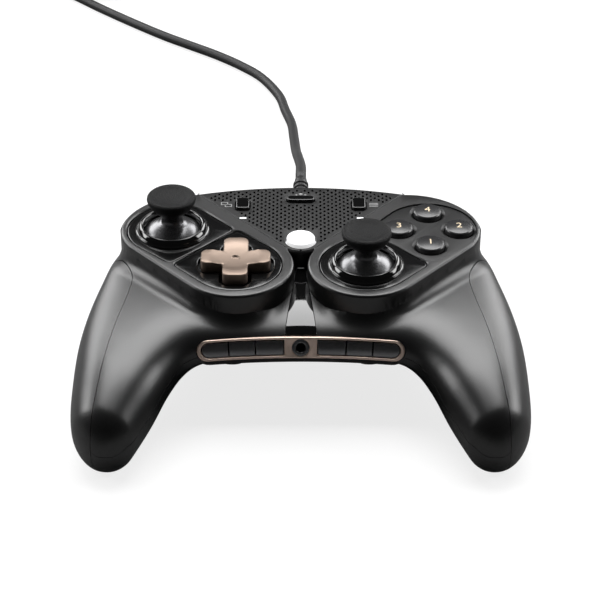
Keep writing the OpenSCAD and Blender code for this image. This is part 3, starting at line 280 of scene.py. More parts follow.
finish("soft_black", (0.0045, 0.0045, 0.0047), 0.33, grain=0.3, depth=0.10, spread=0.25, shine=0.62)
finish("grip_black", (0.005, 0.005, 0.0052), 0.34, grain=0.35, depth=0.16, spread=0.3, shine=0.62)
finish("satin_black", (0.003, 0.003, 0.0031), 0.16, grain=0.3, depth=0.01)
finish("deck_black", (0.005, 0.005, 0.0052), 0.40, grain=0.25, depth=0.08, spread=0.2, shine=0.3)
finish("textured_black", (0.006, 0.006, 0.0062), 0.42, grain=0.3, depth=0.05, shine=0.3)
finish("piano_black", (0.003, 0.003, 0.0031), 0.05, coat=0.3)
finish("copper", (0.22, 0.17, 0.138), 0.46, grain=0.2, depth=0.05, metal=1.0, spread=0.1)
# The bar's copper is a lighter, less metallic copy of the copper above: painted light, because the bar faces
# the dark front and gets little light there.
finish("bezel_copper_painted_light", (0.92, 0.72, 0.61), 0.42, grain=0.2, depth=0.04, metal=0.75, spread=0.1)
finish("dome_grey", (0.13, 0.13, 0.134), 0.27, metal=0.9)
finish("smoke_grey", (0.020, 0.020, 0.021), 0.26, grain=0.2, depth=0.02)
finish("cap_rubber", (0.0045, 0.0045, 0.0047), 0.55, grain=0.45, depth=0.6, spread=0.5, shine=0.13)
finish("bar_grey", (0.20, 0.20, 0.205), 0.2, grain=0.2, depth=0.02, metal=0.8)
finish("membrane_rubber", (0.33, 0.34, 0.35), 0.6)
finish("cord_rubber", (0.014, 0.014, 0.0145), 0.5, grain=0.4, depth=0.08, shine=0.3)
finish("plug_plastic", (0.009, 0.009, 0.0093), 0.4, grain=0.3, depth=0.05, shine=0.35)
finish("steel", (0.55, 0.56, 0.58), 0.28, metal=1.0)
finish("pale_plastic", (0.58, 0.55, 0.48), 0.45)
finish("board_green", (0.012, 0.085, 0.04), 0.4)
finish("legend", (0.66, 0.54, 0.37), 0.5)
finish("sign_grey", (0.20, 0.20, 0.20), 0.5)
finish("white_light", (0.85, 0.86, 0.88), 0.35)
lit = FINISH["white_light"].node_tree.nodes["Principled BSDF"].inputs
lit["Emission Color"].default_value = (1, 1, 1, 1)
lit["Emission Strength"].default_value = GLOW
cord.data.materials.append(FINISH["cord_rubber"])
print("finishes:", len(FINISH))

# %% [markdown]
# ## Simple shapes
# Most pieces are turned, raised or stretched from a simple outline. Blender has an operator
# for each, so a helper only starts the outline, runs the operator and closes the shape.


# %% Simple shapes
def move(x=0.0, y=0.0, z=0.0):
    return Matrix.Translation((x, y, z))


def turn(degrees, axis="Z"):
    return Matrix.Rotation(math.radians(degrees), 4, axis)


TO_BACK, TO_SIDE = turn(-90, "X"), turn(90, "Y")


def put(bm, matrix):
    bmesh.ops.transform(bm, matrix=matrix, verts=bm.verts)
    if matrix.determinant() < 0:
        bmesh.ops.reverse_faces(bm, faces=bm.faces)
    return bm


def mirrored(bm):
    return put(bm, Matrix.Diagonal((-1, 1, 1, 1)))


def verts_of(geom):
    return [v for v in geom if isinstance(v, bmesh.types.BMVert)]


def bevel(bm, geom, width, segments, affect="EDGES", clamp=True):
    bmesh.ops.bevel(bm, geom=geom, offset=width, segments=segments, profile=0.5, affect=affect,
                    clamp_overlap=clamp, material=-1)


def merge_flat(bm, degrees):
    """Takes out the edges inside flat faces."""
    bmesh.ops.dissolve_limit(bm, angle_limit=math.radians(degrees), verts=bm.verts, edges=bm.edges)


def lathe(profile, steps=72, soft=0.0, closed=False):
    """Turns a profile of (radius, height) points round the z axis."""
    bm = bmesh.new()
    verts = [bm.verts.new((r, 0, z)) for r, z in profile]
    pairs = list(zip(verts, verts[1:])) + ([(verts[-1], verts[0])] if closed else [])
    for pair in pairs:
        bm.edges.new(pair)
    if soft:
        bevel(bm, verts if closed else verts[1:-1], soft, 4, "VERTICES")
    bmesh.ops.spin(bm, geom=bm.verts[:] + bm.edges[:], cent=(0, 0, 0), axis=(0, 0, 1), angle=math.tau,
                   steps=steps, use_merge=True)
    bmesh.ops.remove_doubles(bm, verts=bm.verts, dist=1e-4)
    bmesh.ops.recalc_face_normals(bm, faces=bm.faces)
    return bm


def pulled_up(bm, height):
    """Makes a prism of a flat mesh."""
    made = bmesh.ops.extrude_face_region(bm, geom=bm.faces[:])["geom"]
    bmesh.ops.translate(bm, vec=(0, 0, height), verts=verts_of(made))
    bmesh.ops.recalc_face_normals(bm, faces=bm.faces)
    return bm


def raised(points, low, high):
    """A prism on a closed outline of (x, y) points."""
    bm = bmesh.new()
    bm.faces.new([bm.verts.new((x, y, low)) for x, y in points])
    return pulled_up(bm, high - low)


def rounded_box(w, h, r, low, high, x=0.0, y=0.0, segments=8):
    """A prism on a rectangle with round corners."""
    bm = bmesh.new()
    bmesh.ops.create_grid(bm, x_segments=1, y_segments=1, size=0.5)
    bmesh.ops.scale(bm, vec=(w, h, 1), verts=bm.verts)
    bevel(bm, bm.verts[:], r, segments, "VERTICES")
    return put(pulled_up(bm, high - low), move(x, y, low))


def disc(r, low, high, x=0.0, y=0.0, steps=72):
    bm = bmesh.new()
    bmesh.ops.create_cone(bm, cap_ends=True, segments=steps, radius1=r, radius2=r, depth=high - low,
                          matrix=move(x, y, (low + high) / 2))
    return bm


def hulled(discs, low, high, flare=0.0):
    """The prism around several discs (x, y, radius), as if a band were stretched round them."""
    bm = bmesh.new()
    for x, y, r in discs:
        for z, wide in ((low, r), (high, r + flare)):
            bmesh.ops.create_circle(bm, segments=96 if r > 5 else 48, radius=wide, matrix=move(x, y, z))
    made = bmesh.ops.convex_hull(bm, input=bm.verts[:])
    spare = set(verts_of(made["geom_interior"] + made["geom_unused"]))
    bmesh.ops.delete(bm, geom=list(spare), context="VERTS")
    bmesh.ops.delete(bm, geom=[e for e in bm.edges if not e.link_faces], context="EDGES")
    merge_flat(bm, 0.5)
    bmesh.ops.recalc_face_normals(bm, faces=bm.faces)
    return bm


print("sides of a disc:", len(disc(1, 0, 1).faces) - 2)

# %% [markdown]
# ## Cutting, joining and rounding
# A moulding is a sum of simple solids with its sharp edges broken. The Boolean modifier joins
# and cuts them; its manifold solver is quick and leaves closed shapes closed. Edges are then
# bevelled on the mesh, because a bevel modifier would also catch the short edges of a cut.


# %% Cutting, joining and rounding
def combine(base, *steps):
    """Joins and cuts closed solids: steps are pairs of a word and a mesh."""
    things = []
    for bm in [base] + [solid for _, solid in steps]:
        bmesh.ops.triangulate(bm, faces=[f for f in bm.faces if len(f.verts) > 4])
        mesh = bpy.data.meshes.new("step")
        bm.to_mesh(mesh)
        bm.free()
        things.append(bpy.data.objects.new("step", mesh))
        scene.collection.objects.link(things[-1])
    for (word, _), cutter in zip(steps, things[1:]):
        cut = things[0].modifiers.new("cut", "BOOLEAN")
        cut.operation, cut.object, cut.solver = word, cutter, "MANIFOLD"
    made = bmesh.new()
    made.from_object(things[0], bpy.context.evaluated_depsgraph_get())
    for thing in things:
        bpy.data.meshes.remove(thing.data)
    return made


def cut_by(base, *cutters):
    return combine(base, *[("DIFFERENCE", c) for c in cutters])


def joined(base, *others):
    return combine(base, *[("UNION", o) for o in others])


def soften(bm, width, segments=3, angle=50, where=None):
    """Rounds the edges sharper than an angle, or only those of them that a test picks out."""
    merge_flat(bm, 0.3)
    bmesh.ops.collapse(bm, edges=[e for e in bm.edges if e.calc_length() < 0.4 * width], uvs=False)
    edges = [e for e in bm.edges if len(e.link_faces) == 2 and e.calc_face_angle(0) > math.radians(angle)
             and (where is None or where(e))]
    bevel(bm, edges, width, segments, clamp=False)
    return bm


print("faces of a softened box:", len(soften(rounded_box(4, 4, 1, 0, 2), 0.2).faces))

# %% [markdown]
# ## From mesh to piece
# A finished mesh is made an object on its body in the frame, with its finish.
# Level faces and the faces along the bar stay flat in shading, and all others are smooth up
# to a limit of angle, so that a broad top isn't tinted by its rounded rim.

# %% From mesh to piece
lean = math.radians(BAR_LEAN)
FLAT_WAYS, FLAT_LIMIT = [Vector((0, 0, 1)), Vector((0, -math.sin(lean), math.cos(lean)))], 0.99996
SMOOTH_LIMIT = 32


def piece(name, bm, look, body="housing", nodes=()):
    """Turns a mesh in millimetres into a shown piece on a body of the frame."""
    bmesh.ops.remove_doubles(bm, verts=bm.verts, dist=1e-4)
    bmesh.ops.triangulate(bm, faces=[f for f in bm.faces if len(f.verts) > 4], ngon_method="EAR_CLIP")
    bmesh.ops.scale(bm, vec=(MM, MM, MM), verts=bm.verts)
    bm.normal_update()
    for face in bm.faces:
        face.smooth = not any(abs(face.normal.dot(way)) > FLAT_LIMIT for way in FLAT_WAYS)
    mesh = bpy.data.meshes.new(name)
    bm.to_mesh(mesh)
    bm.free()
    mesh.set_sharp_from_angle(angle=math.radians(SMOOTH_LIMIT))
    mesh.materials.append(FINISH[look])
    obj = bpy.data.objects.new(name, mesh)
    scene.collection.objects.link(obj)
    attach(obj, body)
    if nodes:
        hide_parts(*nodes)
    print(name, len(mesh.polygons), "faces")
    return obj


print("ways that stay flat:", len(FLAT_WAYS))

# %% [markdown]
# ## Skin of the body
# The two grips and the middle of the real body are one smooth skin. It could be sculpted or
# subdivided from a cage, but a formula through the table of cross sections can also be asked
# for a single point, which places the buttons and the strip that lie on the skin.

# %% Skin of the body
TIP_END, TIP_PITCH, GRIP_END = 0.75, 13, 4


def power(x, p):
    return math.copysign(abs(x) ** p, x)


def row(i):
    """A line of the table, continued beyond its ends and mirrored at the middle."""
    if i < 0:
        return [2 * a - b for a, b in zip(BODY[0], BODY[1])]
    if i > LAST:
        return [-c if k in (0, 2) else c for k, c in enumerate(BODY[2 * LAST - i])]
    return BODY[i]


def body_point(t, v, inset=0.0):
    """A point of the body at section t and angle v: 0 outer edge, 90 crown, 180 inner edge."""
    i = min(int(t), LAST - 1)
    near = zip(row(i - 1), row(i), row(i + 1), row(i + 2))
    mixed = [ease(a, b, c, d, t - i) for a, b, c, d in near]
    ox, oy, ix, iy, outer_z, inner_z, crown_z, outer_keel, inner_keel, square = mixed
    start = inset / TIP_PITCH
    u = (t - start) / (TIP_END - start)
    fade = math.sqrt(max(0.0, 1 - (1 - u) ** 2)) if t < TIP_END else 1.0
    half, middle = Vector((ox - ix, oy - iy)) / 2, Vector((ox + ix, oy + iy)) / 2
    a = power(math.cos(math.radians(v)), 2 / square)
    b = power(math.sin(math.radians(v)), 2 / square)
    w = (a + 1) / 2
    edge, keel = inner_z + (outer_z - inner_z) * w, inner_keel + (outer_keel - inner_keel) * w
    z = edge + (crown_z - inset - edge if b >= 0 else edge - keel - inset) * b
    level = (outer_z + inner_z) / 2
    xy = middle + half * a * (1 - inset / half.length) * fade
    return Vector((xy.x, xy.y, level + (z - level) * fade))


print("width across the grips:", round(-2 * body_point(2, 0).x, 1))

# %% [markdown]
# ## Hollow round the wings
# Where a raised wing grows out of a grip, the real moulding has no hard corner but a soft
# hollow. A bevel along that line would break up where the line runs out on the saddle, so the
# skin itself is lifted a little near each wing.

# %% Hollow round the wings
WING_R, WING_GROWTH = 19.2, 1.8
HOLLOW_R, HOLLOW_FROM, HOLLOW_TO = 6.0, 24, 52
RAMP_H, RAMP_W, RAMP_FROM, RAMP_TO = 2.4, 5.0, 7, 18


def wing_gap(x, y):
    """How far a place in the plan is outside the nearer wing."""
    a, b = Vector((OUTER_X, BACK_Y)), Vector((INNER_X, FRONT_Y))
    p = Vector((abs(x), y))
    f = min(1.0, max(0.0, (p - a).dot(b - a) / (b - a).length_squared))
    return (p - a - (b - a) * f).length - (WING_R + WING_GROWTH * f)


def step_up(x, low, high):
    f = min(1.0, max(0.0, (x - low) / (high - low)))
    return f * f * (3 - 2 * f)


def lift(p, v):
    """Height of the hollow at a point of the skin: wide on the grip, tight by the saddle."""
    wide = step_up(abs(p.x), HOLLOW_FROM, HOLLOW_TO)
    r, gap = HOLLOW_R * wide, max(0.0, wing_gap(p.x, p.y))
    d = min(r, gap)
    crown = step_up(math.sin(math.radians(v)), 0.25, 0.75)
    ramp = RAMP_H * step_up(abs(p.x), RAMP_FROM, RAMP_TO) * (1 - wide) * (1 - min(gap, RAMP_W) / RAMP_W) ** 2
    return crown * (r - math.sqrt(max(0.0, r * r - (r - d) ** 2)) + ramp)


print("lift beside a wing:", round(lift(Vector((OUTER_X + WING_R, BACK_Y, 0)), 90), 2))

# %% [markdown]
# ## Body
# A grid is bent over the skin, so that every row of the grid is one section. Rows lie closer
# at the tips of the grips, and the angles share the way round evenly, because a coarse spot
# would show in the long highlights.

# %% Body
ROUND, SAMPLES, ROUND_WIDE, ROUND_POWER = 168, 7200, 3.2, 0.7


def even_angles(count):
    """Section angles that share the way round evenly, so that no part of the skin is coarse."""
    fine = [360 * i / SAMPLES for i in range(SAMPLES + 1)]
    around = [(math.cos(math.radians(v)), math.sin(math.radians(v))) for v in fine]
    spots = [Vector((ROUND_WIDE * power(c, ROUND_POWER), power(s, ROUND_POWER))) for c, s in around]
    way = [0.0]
    for a, b in zip(spots, spots[1:]):
        way.append(way[-1] + (b - a).length)
    angles, k = [], 0
    for i in range(count + 1):
        while k < SAMPLES and way[k] < way[-1] * i / count:
            k += 1
        angles.append(fine[k])
    return angles


def body_solid(inset=0.0, fine=True):
    """The whole skin, closed at the tips of the grips."""
    tip, grip, wing = (16, 34, 110) if fine else (6, 12, 30)
    start = inset / TIP_PITCH
    stops = [start + (TIP_END - start) * (1 - math.cos(math.pi / 2 * i / tip)) for i in range(tip)]
    stops += [TIP_END + (GRIP_END - TIP_END) * i / grip for i in range(grip)]
    stops += [GRIP_END + (LAST - GRIP_END) * i / wing for i in range(wing + 1)]
    stops = [(t, 1) for t in stops] + [(t, -1) for t in reversed(stops[:-1])]
    angles = even_angles(ROUND if fine else 48)
    bm = bmesh.new()
    bmesh.ops.create_grid(bm, x_segments=len(stops) - 1, y_segments=len(angles) - 1, size=0.5)
    for vert in bm.verts:
        t, side = stops[round((vert.co.x + 0.5) * (len(stops) - 1))]
        v = angles[round((vert.co.y + 0.5) * (len(angles) - 1))]
        p = body_point(t, v, inset)
        if fine and v < 180:
            p.z += lift(p, v)
        vert.co = (p.x * side, p.y, p.z)
    bmesh.ops.remove_doubles(bm, verts=bm.verts, dist=1e-3)
    bmesh.ops.recalc_face_normals(bm, faces=bm.faces)
    return bm


print("points round a section:", len(even_angles(ROUND)) - 1)

# %% [markdown]
# ## Raised face
# Two wings, two shoulders and the centre panel stand above the body as one block. Each is a
# prism. Only the part of its top edge that stays in view is rounded before they are joined,
# so no groove is left where one prism runs into the next.

# %% Outlines of the raised face
SHOULDER = (40.0, 27.3, 26.8)
PANEL_CORNER, PANEL_SAG, NOSE_R = (39.5, 54.1), 5.2, 8.0
ARC_R = (PANEL_CORNER[0] ** 2 + PANEL_SAG ** 2) / (2 * PANEL_SAG)
PANEL_SIDE, PANEL_OFF = Vector((0.748, -0.664)), 6.34


def panel_solid(grow, low, high):
    """The centre panel: a pointed front, a gently curved back."""
    x, y = PANEL_CORNER
    front = hulled([(0, GUIDE_Y, NOSE_R + grow), (-x - grow + 0.2, y, 0.2), (x + grow - 0.2, y, 0.2),
                    (0, y + 2.2 * PANEL_SAG + grow, 0.2)], low, high)
    return combine(front, ("INTERSECT", disc(ARC_R + grow, low - 1, high + 1, 0, FACE_BACK_Y - ARC_R, 400)))


def panel_gap(x, y):
    """How far a place in the plan is outside the panel."""
    back = Vector((x, y - FACE_BACK_Y + ARC_R)).length - ARC_R
    return max(back, PANEL_SIDE.dot(Vector((abs(x), y))) + PANEL_OFF)


def shoulder_gap(x, y):
    """How far a place in the plan is outside the nearer shoulder."""
    return max((Vector((abs(x), y)) - Vector(SHOULDER[:2])).length - SHOULDER[2], BACK_Y + 0.6 - y)


print("panel from its nose to its back:", round(FACE_BACK_Y - GUIDE_Y + NOSE_R, 1))

# %% Raised face
FACE_FOOT, FACE_ROUND, EDGE_STEP = 21.3, 1.1, 1.5
WEB = [(17.5, 28.5, 2.2), (13.5, 24.2, 1.5), (21, 32, 2.5)]


def round_top(bm, high, width, others):
    """Rounds the top edge of a prism where no other block covers it."""
    merge_flat(bm, 0.3)

    def top_edges():
        level = [e for e in bm.edges if min(v.co.z for v in e.verts) > high - 0.01]
        return [e for e in level if e.calc_face_angle(0) > 1]

    for edge in [e for e in top_edges() if e.calc_length() > 2 * EDGE_STEP]:
        bmesh.ops.subdivide_edges(bm, edges=[edge], cuts=int(edge.calc_length() / EDGE_STEP))
    shown = []
    for edge in top_edges():
        x, y, _ = (edge.verts[0].co + edge.verts[1].co) / 2
        if min(gap(x, y) for gap in others) > -0.4:
            shown.append(edge)
    bevel(bm, shown, width, 4, clamp=False)
    return bm


def face_solid(grow, low, high, soft=0.0):
    """Wings, shoulders and panel in one block, rounded along the top if asked."""
    x, y, r = SHOULDER
    blocks = [(panel_solid(grow, low, high), (wing_gap, shoulder_gap))]
    for s in (1, -1):
        wing = hulled([(s * OUTER_X, BACK_Y, WING_R + grow),
                       (s * INNER_X, FRONT_Y, WING_R + WING_GROWTH + grow)], low, high)
        shoulder = cut_by(disc(r + grow, low, high, s * x, y, 144),
                          rounded_box(200, 100, 1, low - 1, high + 1, 0, BACK_Y - 49.4))
        blocks += [(wing, (panel_gap, shoulder_gap)), (shoulder, (panel_gap, wing_gap))]
    if soft:
        blocks = [(round_top(block, high, soft, others), others) for block, others in blocks]
    webs = [hulled([(s * x, y, r) for x, y, r in WEB], low, high) for s in (1, -1)]
    return joined(*[block for block, _ in blocks], *webs)


face = face_solid(0, FACE_FOOT, FACE_Z, FACE_ROUND)
print("face block faces:", len(face.faces))

# %% [markdown]
# ## Parting lines
# The shells are cut from the skin as the moulder parts them: along a parting line across the
# pad and along the seams of the side grips. Each cut stops a tenth of a millimetre short, so
# that a fine dark seam is left between neighbours.

# %% Parting lines
SEAM = 0.1
PARTING = [(-200, 4), (-62.6, 11), (-60.5, 13.8), (-50, 17), (-38, 21.4), (-29, 25), (BAR_Y, 26), (0, 24),
           (300, 24)]
SIDE_SEAM = [(-100, 31), (-72, 27), (-68.4, 23.4), (-64.2, 17.2), (-61.5, 11.5), (-61.3, 5.5), (-62.8, -4),
             (-65, -14.5), (-67, -26), (-68.7, -38), (-70, -49), (-71.4, -59.5), (-72.2, -66), (-72.2, -78),
             (-100, -78)]


def across(points, low=-120.0, high=120.0):
    """A prism across the pad on an outline of (y, z) points."""
    return put(raised(points, low, high), Matrix(((0, 0, 1, 0), (1, 0, 0, 0), (0, 1, 0, 0), (0, 0, 0, 1))))


def below(slack):
    return across([(y, z + slack) for y, z in PARTING] + [(300, -90), (-200, -90)])


def above(slack):
    return across([(y, z - slack) for y, z in PARTING] + [(300, 190), (-200, 190)])


def side_solid(side, slack):
    line = [(p.x + slack, p.y + slack) for p in smooth_line(SIDE_SEAM, 8)]
    return put(raised(line, -5, 90), Matrix.Diagonal((-side, 1, 1, 1)))


def table_block():
    """Everything below the table, for a clean cut at its level."""
    return rounded_box(400, 400, 1, -30, 0)


print("points of the parting line:", len(PARTING))

# %% [markdown]
# ## Pockets for the modules
# Three control modules and the button plate sit in pockets of the face. A pocket and the
# plate in it come from the same outline, grown by a gap, so they can't drift apart.

# %% Pockets for the modules
PLATE_R, PLATE_REACH, PLATE_CORNER, PLATE_T, PLATE_DROP = 16.6, 21.8, 2.2, 3.2, 0.4
CUP_R, GAP, CLUSTER_PLATE_R = 14.6, 0.35, 17.55
MODULES = [("left_stick", 0, STICKS["left"]), ("dpad", 180, PAD), ("right_stick", 90, STICKS["right"])]
THROUGH, ROOM = (30, 60), (FACE_Z - 12, 60)
plate_top = FACE_Z - PLATE_DROP
deck_low = FACE_Z - PLATE_DROP - PLATE_T


def plate_solid(turned, grow, low, high, at, r=PLATE_R, flare=0.0):
    """A module plate: round, with two corners."""
    c = PLATE_REACH - PLATE_CORNER
    a = math.radians(turned)
    corners = [(c * math.cos(a), c * math.sin(a)), (c * math.sin(a), -c * math.cos(a))]
    discs = [(at[0] + x, at[1] + y, PLATE_CORNER + grow) for x, y in corners]
    return hulled([(*at, r + grow)] + discs, low, high, flare)


def cluster_solid(grow, low, high):
    """The button plate, which gives way to the stick module beside it."""
    return cut_by(plate_solid(270, grow, low, high, CLUSTER, CLUSTER_PLATE_R),
                  plate_solid(90, GAP - grow, low - 1, high + 1, STICKS["right"]))


def module_pockets():
    pockets = []
    for _, turned, at in MODULES:
        pockets += [plate_solid(turned, GAP, deck_low - 0.3, ROOM[1], at), disc(CUP_R + 0.4, *ROOM, *at),
                    plate_solid(turned, GAP - 0.1, FACE_Z - 0.5, FACE_Z + 0.1, at, flare=0.6)]
    return pockets


print("top of the plates:", plate_top)

# %% [markdown]
# ## Pocket for the front bar
# The copper bar, its keys and their windows are bands of one flat arc that leans with the
# front of the body. A straight bar could be bent by a modifier, but the arc's formula puts
# every band on the same curve at once.

# %% Pocket for the front bar
BAR_W, BAR_H, BAR_SAG, BAR_RIM, BAR_TOP, SOCKET_R = 73.5, 7.7, 1.6, 0.9, 0.6, 3
BAR_ARC = (BAR_W ** 2 / 4 + BAR_SAG ** 2) / (2 * BAR_SAG)
AT_BAR = move(0, -23.2, 28.8) @ turn(BAR_LEAN, "X")
SPLITS = (6.1, 16, 25.4, BAR_W / 2 - 1.85)
WINDOW = BAR_H / 2 - BAR_RIM


def bar_at(x, out):
    a = math.asin(x / BAR_ARC)
    return Vector(((BAR_ARC + out) * math.sin(a), (BAR_ARC + out) * math.cos(a) - BAR_ARC))


def bar_solid(x0, x1, half, low, high, round0=False, round1=False):
    """A band along the arc of the front bar, with a round end where asked."""
    a, b = x0 + (half if round0 else 0), x1 - (half if round1 else 0)
    line = [a + (b - a) * i / 24 for i in range(25)]
    points = [bar_at(x, half) for x in line]

    def end_at(x, start):
        spin = [math.radians(start - 180 * k / 14) - math.asin(x / BAR_ARC) for k in range(1, 14)]
        return [bar_at(x, 0) + half * Vector((math.cos(s), math.sin(s))) for s in spin]

    points += end_at(b, 90) if round1 else []
    points += [bar_at(x, -half) for x in reversed(line)]
    points += end_at(a, -90) if round0 else []
    return put(raised([tuple(p) for p in points], low, high), AT_BAR)


def whole_bar(wider, taller, low, high):
    return bar_solid(-BAR_W / 2 - wider, BAR_W / 2 + wider, BAR_H / 2 + taller, low, high, True, True)


def bar_windows(slack, low, high):
    """The openings for the keys on both sides of the socket."""
    x0, x1 = SPLITS[0] - GAP - slack, SPLITS[3] + GAP + slack
    pair = [bar_solid(x0, x1, WINDOW + slack, low, high, False, True) for _ in (0, 1)]
    return [pair[0], mirrored(pair[1])]


def bar_pocket():
    return [whole_bar(0.15, 0.15, -2, 6), *bar_windows(0.2, -6, 2), put(disc(SOCKET_R + 0.2, -20, 4), AT_BAR)]


print("radius of the bar's arc:", round(BAR_ARC, 1))

# %% [markdown]
# ## Strip, wells and rear buttons
# A glossy strip is let into the saddle, each trigger swings in a well, and four buttons come
# through the underside. The strip is bent along the skin and cut to a taper, and a rear
# button takes its place from the skin, so both follow the body when the table changes.

# %% Strip, wells and rear buttons
STRIP_END, STRIP_STEPS, STRIP_BACK, STRIP_FRONT = 64, 28, 1.3, 5.7
STRIP_PROUD, STRIP_SUNK, STRIP_GAP = 0.3, 0.9, 0.1
TRIGGER_X, TRIGGER_Y, TRIGGER_Z = 40, 50, 27
WELL_W, WELL_L, WELL_LOW, WELL_TOP, WELL_Y = 28.4, 60, 3, 33.2, 74
REAR, REAR_LEAN, REAR_HOLE = [(7.3, 234), (7.6, 265)], -22, (8.7, 14.7, 4.3)


def strip_solid(grow, proud, sunk):
    """The glossy strip: a band bent down the saddle, cut to a taper."""
    angles = [90 + STRIP_END * (i / STRIP_STEPS) for i in range(STRIP_STEPS + 1)]
    line = [body_point(LAST, v, -proud) for v in angles]
    line += [body_point(LAST, v, sunk + grow) for v in reversed(angles)]
    front = body_point(LAST, 90 + STRIP_END).y - grow
    back = GUIDE_Y - NOSE_R + 0.9 + grow
    a, b = STRIP_BACK + grow, STRIP_FRONT + grow
    taper = raised([(-a, back), (a, back), (b, front), (-b, front)], 25, 46)
    return combine(across([(p.y, p.z) for p in line], -11, 11), ("INTERSECT", taper))


def well(side):
    return rounded_box(WELL_W, WELL_L, 0.3, WELL_LOW, WELL_TOP, side * TRIGGER_X, WELL_Y)


def at_rear(t, v, side):
    """The place of a rear button: on the skin, leaning with the slope it comes through."""
    p = body_point(t, v)
    return move(side * -p.x, p.y, p.z) @ turn(REAR_LEAN, "X")


print("rear buttons:", 2 * len(REAR))

# %% [markdown]
# ## Shells
# The real housing is a top shell, a bottom shell and two side grips. Each is the skin with its
# own set of cuts. They could be modelled one by one, but cut from one skin they meet exactly.

# %% Top shell
CLUSTER_R, BUTTON_R, BUTTON_ROOM, PIN_X, PIN_Z, PIN_R = 11.1, 5.25, 1.15, 14, 38.2, 1.6
MENU_ROOM, SHARE_ROOM, GUIDE_ROOM_R, BOOT_ROOM_R = (8.6, 11, 2), (13.9, 7, 3), 7.2, 5.2
AROUND = {"front": (0, -1), "right": (1, 0), "left": (-1, 0), "back": (0, 1)}
BUTTONS = {name: (CLUSTER[0] + CLUSTER_R * x, CLUSTER[1] + CLUSTER_R * y) for name, (x, y) in AROUND.items()}
top_cuts = [body_solid(WALL, False), face_solid(-WALL, FACE_FOOT - 1, FACE_Z - DECK), below(SEAM),
            side_solid(-1, SEAM), side_solid(1, SEAM), *module_pockets(),
            cluster_solid(0.15, deck_low, ROOM[1]), panel_solid(-0.55, FACE_Z - 2, ROOM[1]),
            disc(CLUSTER_R, *ROOM, *CLUSTER)]
top_cuts += [disc(BUTTON_R + BUTTON_ROOM, *ROOM, *at) for at in BUTTONS.values()]
for side in (-1, 1):
    top_cuts += [rounded_box(*MENU_ROOM, *ROOM, side * MENU_X, MENU_Y), well(side),
                 put(disc(PIN_R, -4, 16), move(side * PIN_X, 55, PIN_Z) @ TO_BACK)]
top_cuts += [rounded_box(*SHARE_ROOM, *ROOM, 0, SHARE_Y), disc(GUIDE_ROOM_R, *ROOM, 0, GUIDE_Y),
             *bar_pocket(), strip_solid(STRIP_GAP, 2 * STRIP_PROUD, STRIP_SUNK),
             put(disc(BOOT_ROOM_R, 0, 30), move(0, 47.3, CORD_EXIT[2]) @ TO_BACK)]
shell = combine(body_solid(), ("UNION", face), *[("DIFFERENCE", c) for c in top_cuts])
piece("shell_top", shell, "soft_black", nodes=["top_shell"])

# %% Bottom shell and side grips
bottom_cuts = [body_solid(WALL, False), above(SEAM), side_solid(-1, SEAM), side_solid(1, SEAM),
               well(-1), well(1), *bar_pocket(), table_block()]
for t, v in REAR:
    bottom_cuts += [put(rounded_box(*REAR_HOLE, -6, 14), at_rear(t, v, side)) for side in (-1, 1)]
chin = combine(whole_bar(1, 1.5, -5, -0.2), ("INTERSECT", below(-SEAM)))
shell = combine(body_solid(), ("UNION", chin), *[("DIFFERENCE", c) for c in bottom_cuts])
piece("shell_bottom", shell, "soft_black", nodes=["bottom_shell"])
for name, side in SIDES.items():
    grip = combine(body_solid(), ("UNION", face_solid(0, FACE_FOOT, FACE_Z)),
                   ("DIFFERENCE", body_solid(WALL, False)), ("INTERSECT", side_solid(side, -SEAM)),
                   ("DIFFERENCE", table_block()))
    piece(f"side_grip_{name}", grip, "grip_black", nodes=[f"{name}_side_grip"])

# %% [markdown]
# ## Module plates
# Each control module is a flush plate on a round cup. The plate is the stretched outline of
# three discs. Its hole is cut first, and then every edge gets a small round, which is what
# draws the thin bright line round it in the picture.

# %% Module plates
PLATE_ROUND, HOLE_R, CUP_LOW, CUP_WALL = 0.42, 10.55, FACE_Z - 20, 1.4
ARM_L, ARM_W, ARM_ROUND, PAD_ROOM = 25, 9, 2.6, 1.2
PIVOT, DOME_R = 11.5, 15.05


def cross_solid(grow, low, high, at=(0.0, 0.0)):
    """A plus sign with round corners."""
    size, r = (ARM_L + 2 * grow, ARM_W + 2 * grow), ARM_ROUND + grow
    return joined(rounded_box(*size, r, low, high, *at, 10), rounded_box(*size[::-1], r, low, high, *at, 10))


def ball_room(at):
    """A ball a little larger than the dome of a stick, to keep clear of it."""
    bm = bmesh.new()
    bmesh.ops.create_icosphere(bm, subdivisions=5, radius=DOME_R + GAP, matrix=move(*at, FACE_Z - PIVOT))
    return bm


for name, turned, at in MODULES:
    hole = cross_solid(PAD_ROOM, *THROUGH, at) if name == "dpad" else disc(HOLE_R, *THROUGH, *at)
    plate = soften(cut_by(plate_solid(turned, 0, deck_low, plate_top, at), hole), PLATE_ROUND)
    cup = cut_by(disc(CUP_R, CUP_LOW, deck_low + 0.8, *at), disc(CUP_R - CUP_WALL, CUP_LOW + 1.6, 60, *at))
    if name == "dpad":
        floor = cut_by(disc(CUP_R - 0.7, FACE_Z - 5, FACE_Z - 3, *at), disc(5.45, *THROUGH, *at))
        module = joined(plate, cup, floor)
    else:
        plate = cut_by(plate, ball_room(at))
        module = joined(plate, cut_by(cup, disc(CUP_R - GAP, FACE_Z - 8, deck_low + 0.3, *at)))
    piece(f"{name}_plate", module, "satin_black", f"{name}_unit_body", [f"{name}_module"])

# %% Button plate
SINK = [(0, -2), (BUTTON_R + GAP, -2), (BUTTON_R + GAP, -0.75), (BUTTON_R + 1.5, 0.1), (0, 0.1)]
holes = [disc(BUTTON_R + GAP, *THROUGH, *at) for at in BUTTONS.values()]
sinks = [put(lathe(SINK), move(*at, plate_top)) for at in BUTTONS.values()]
plate = cut_by(soften(cluster_solid(0, deck_low, plate_top), 0.35), *holes, *sinks)
piece("cluster_plate", plate, "deck_black", nodes=["button_plate"])

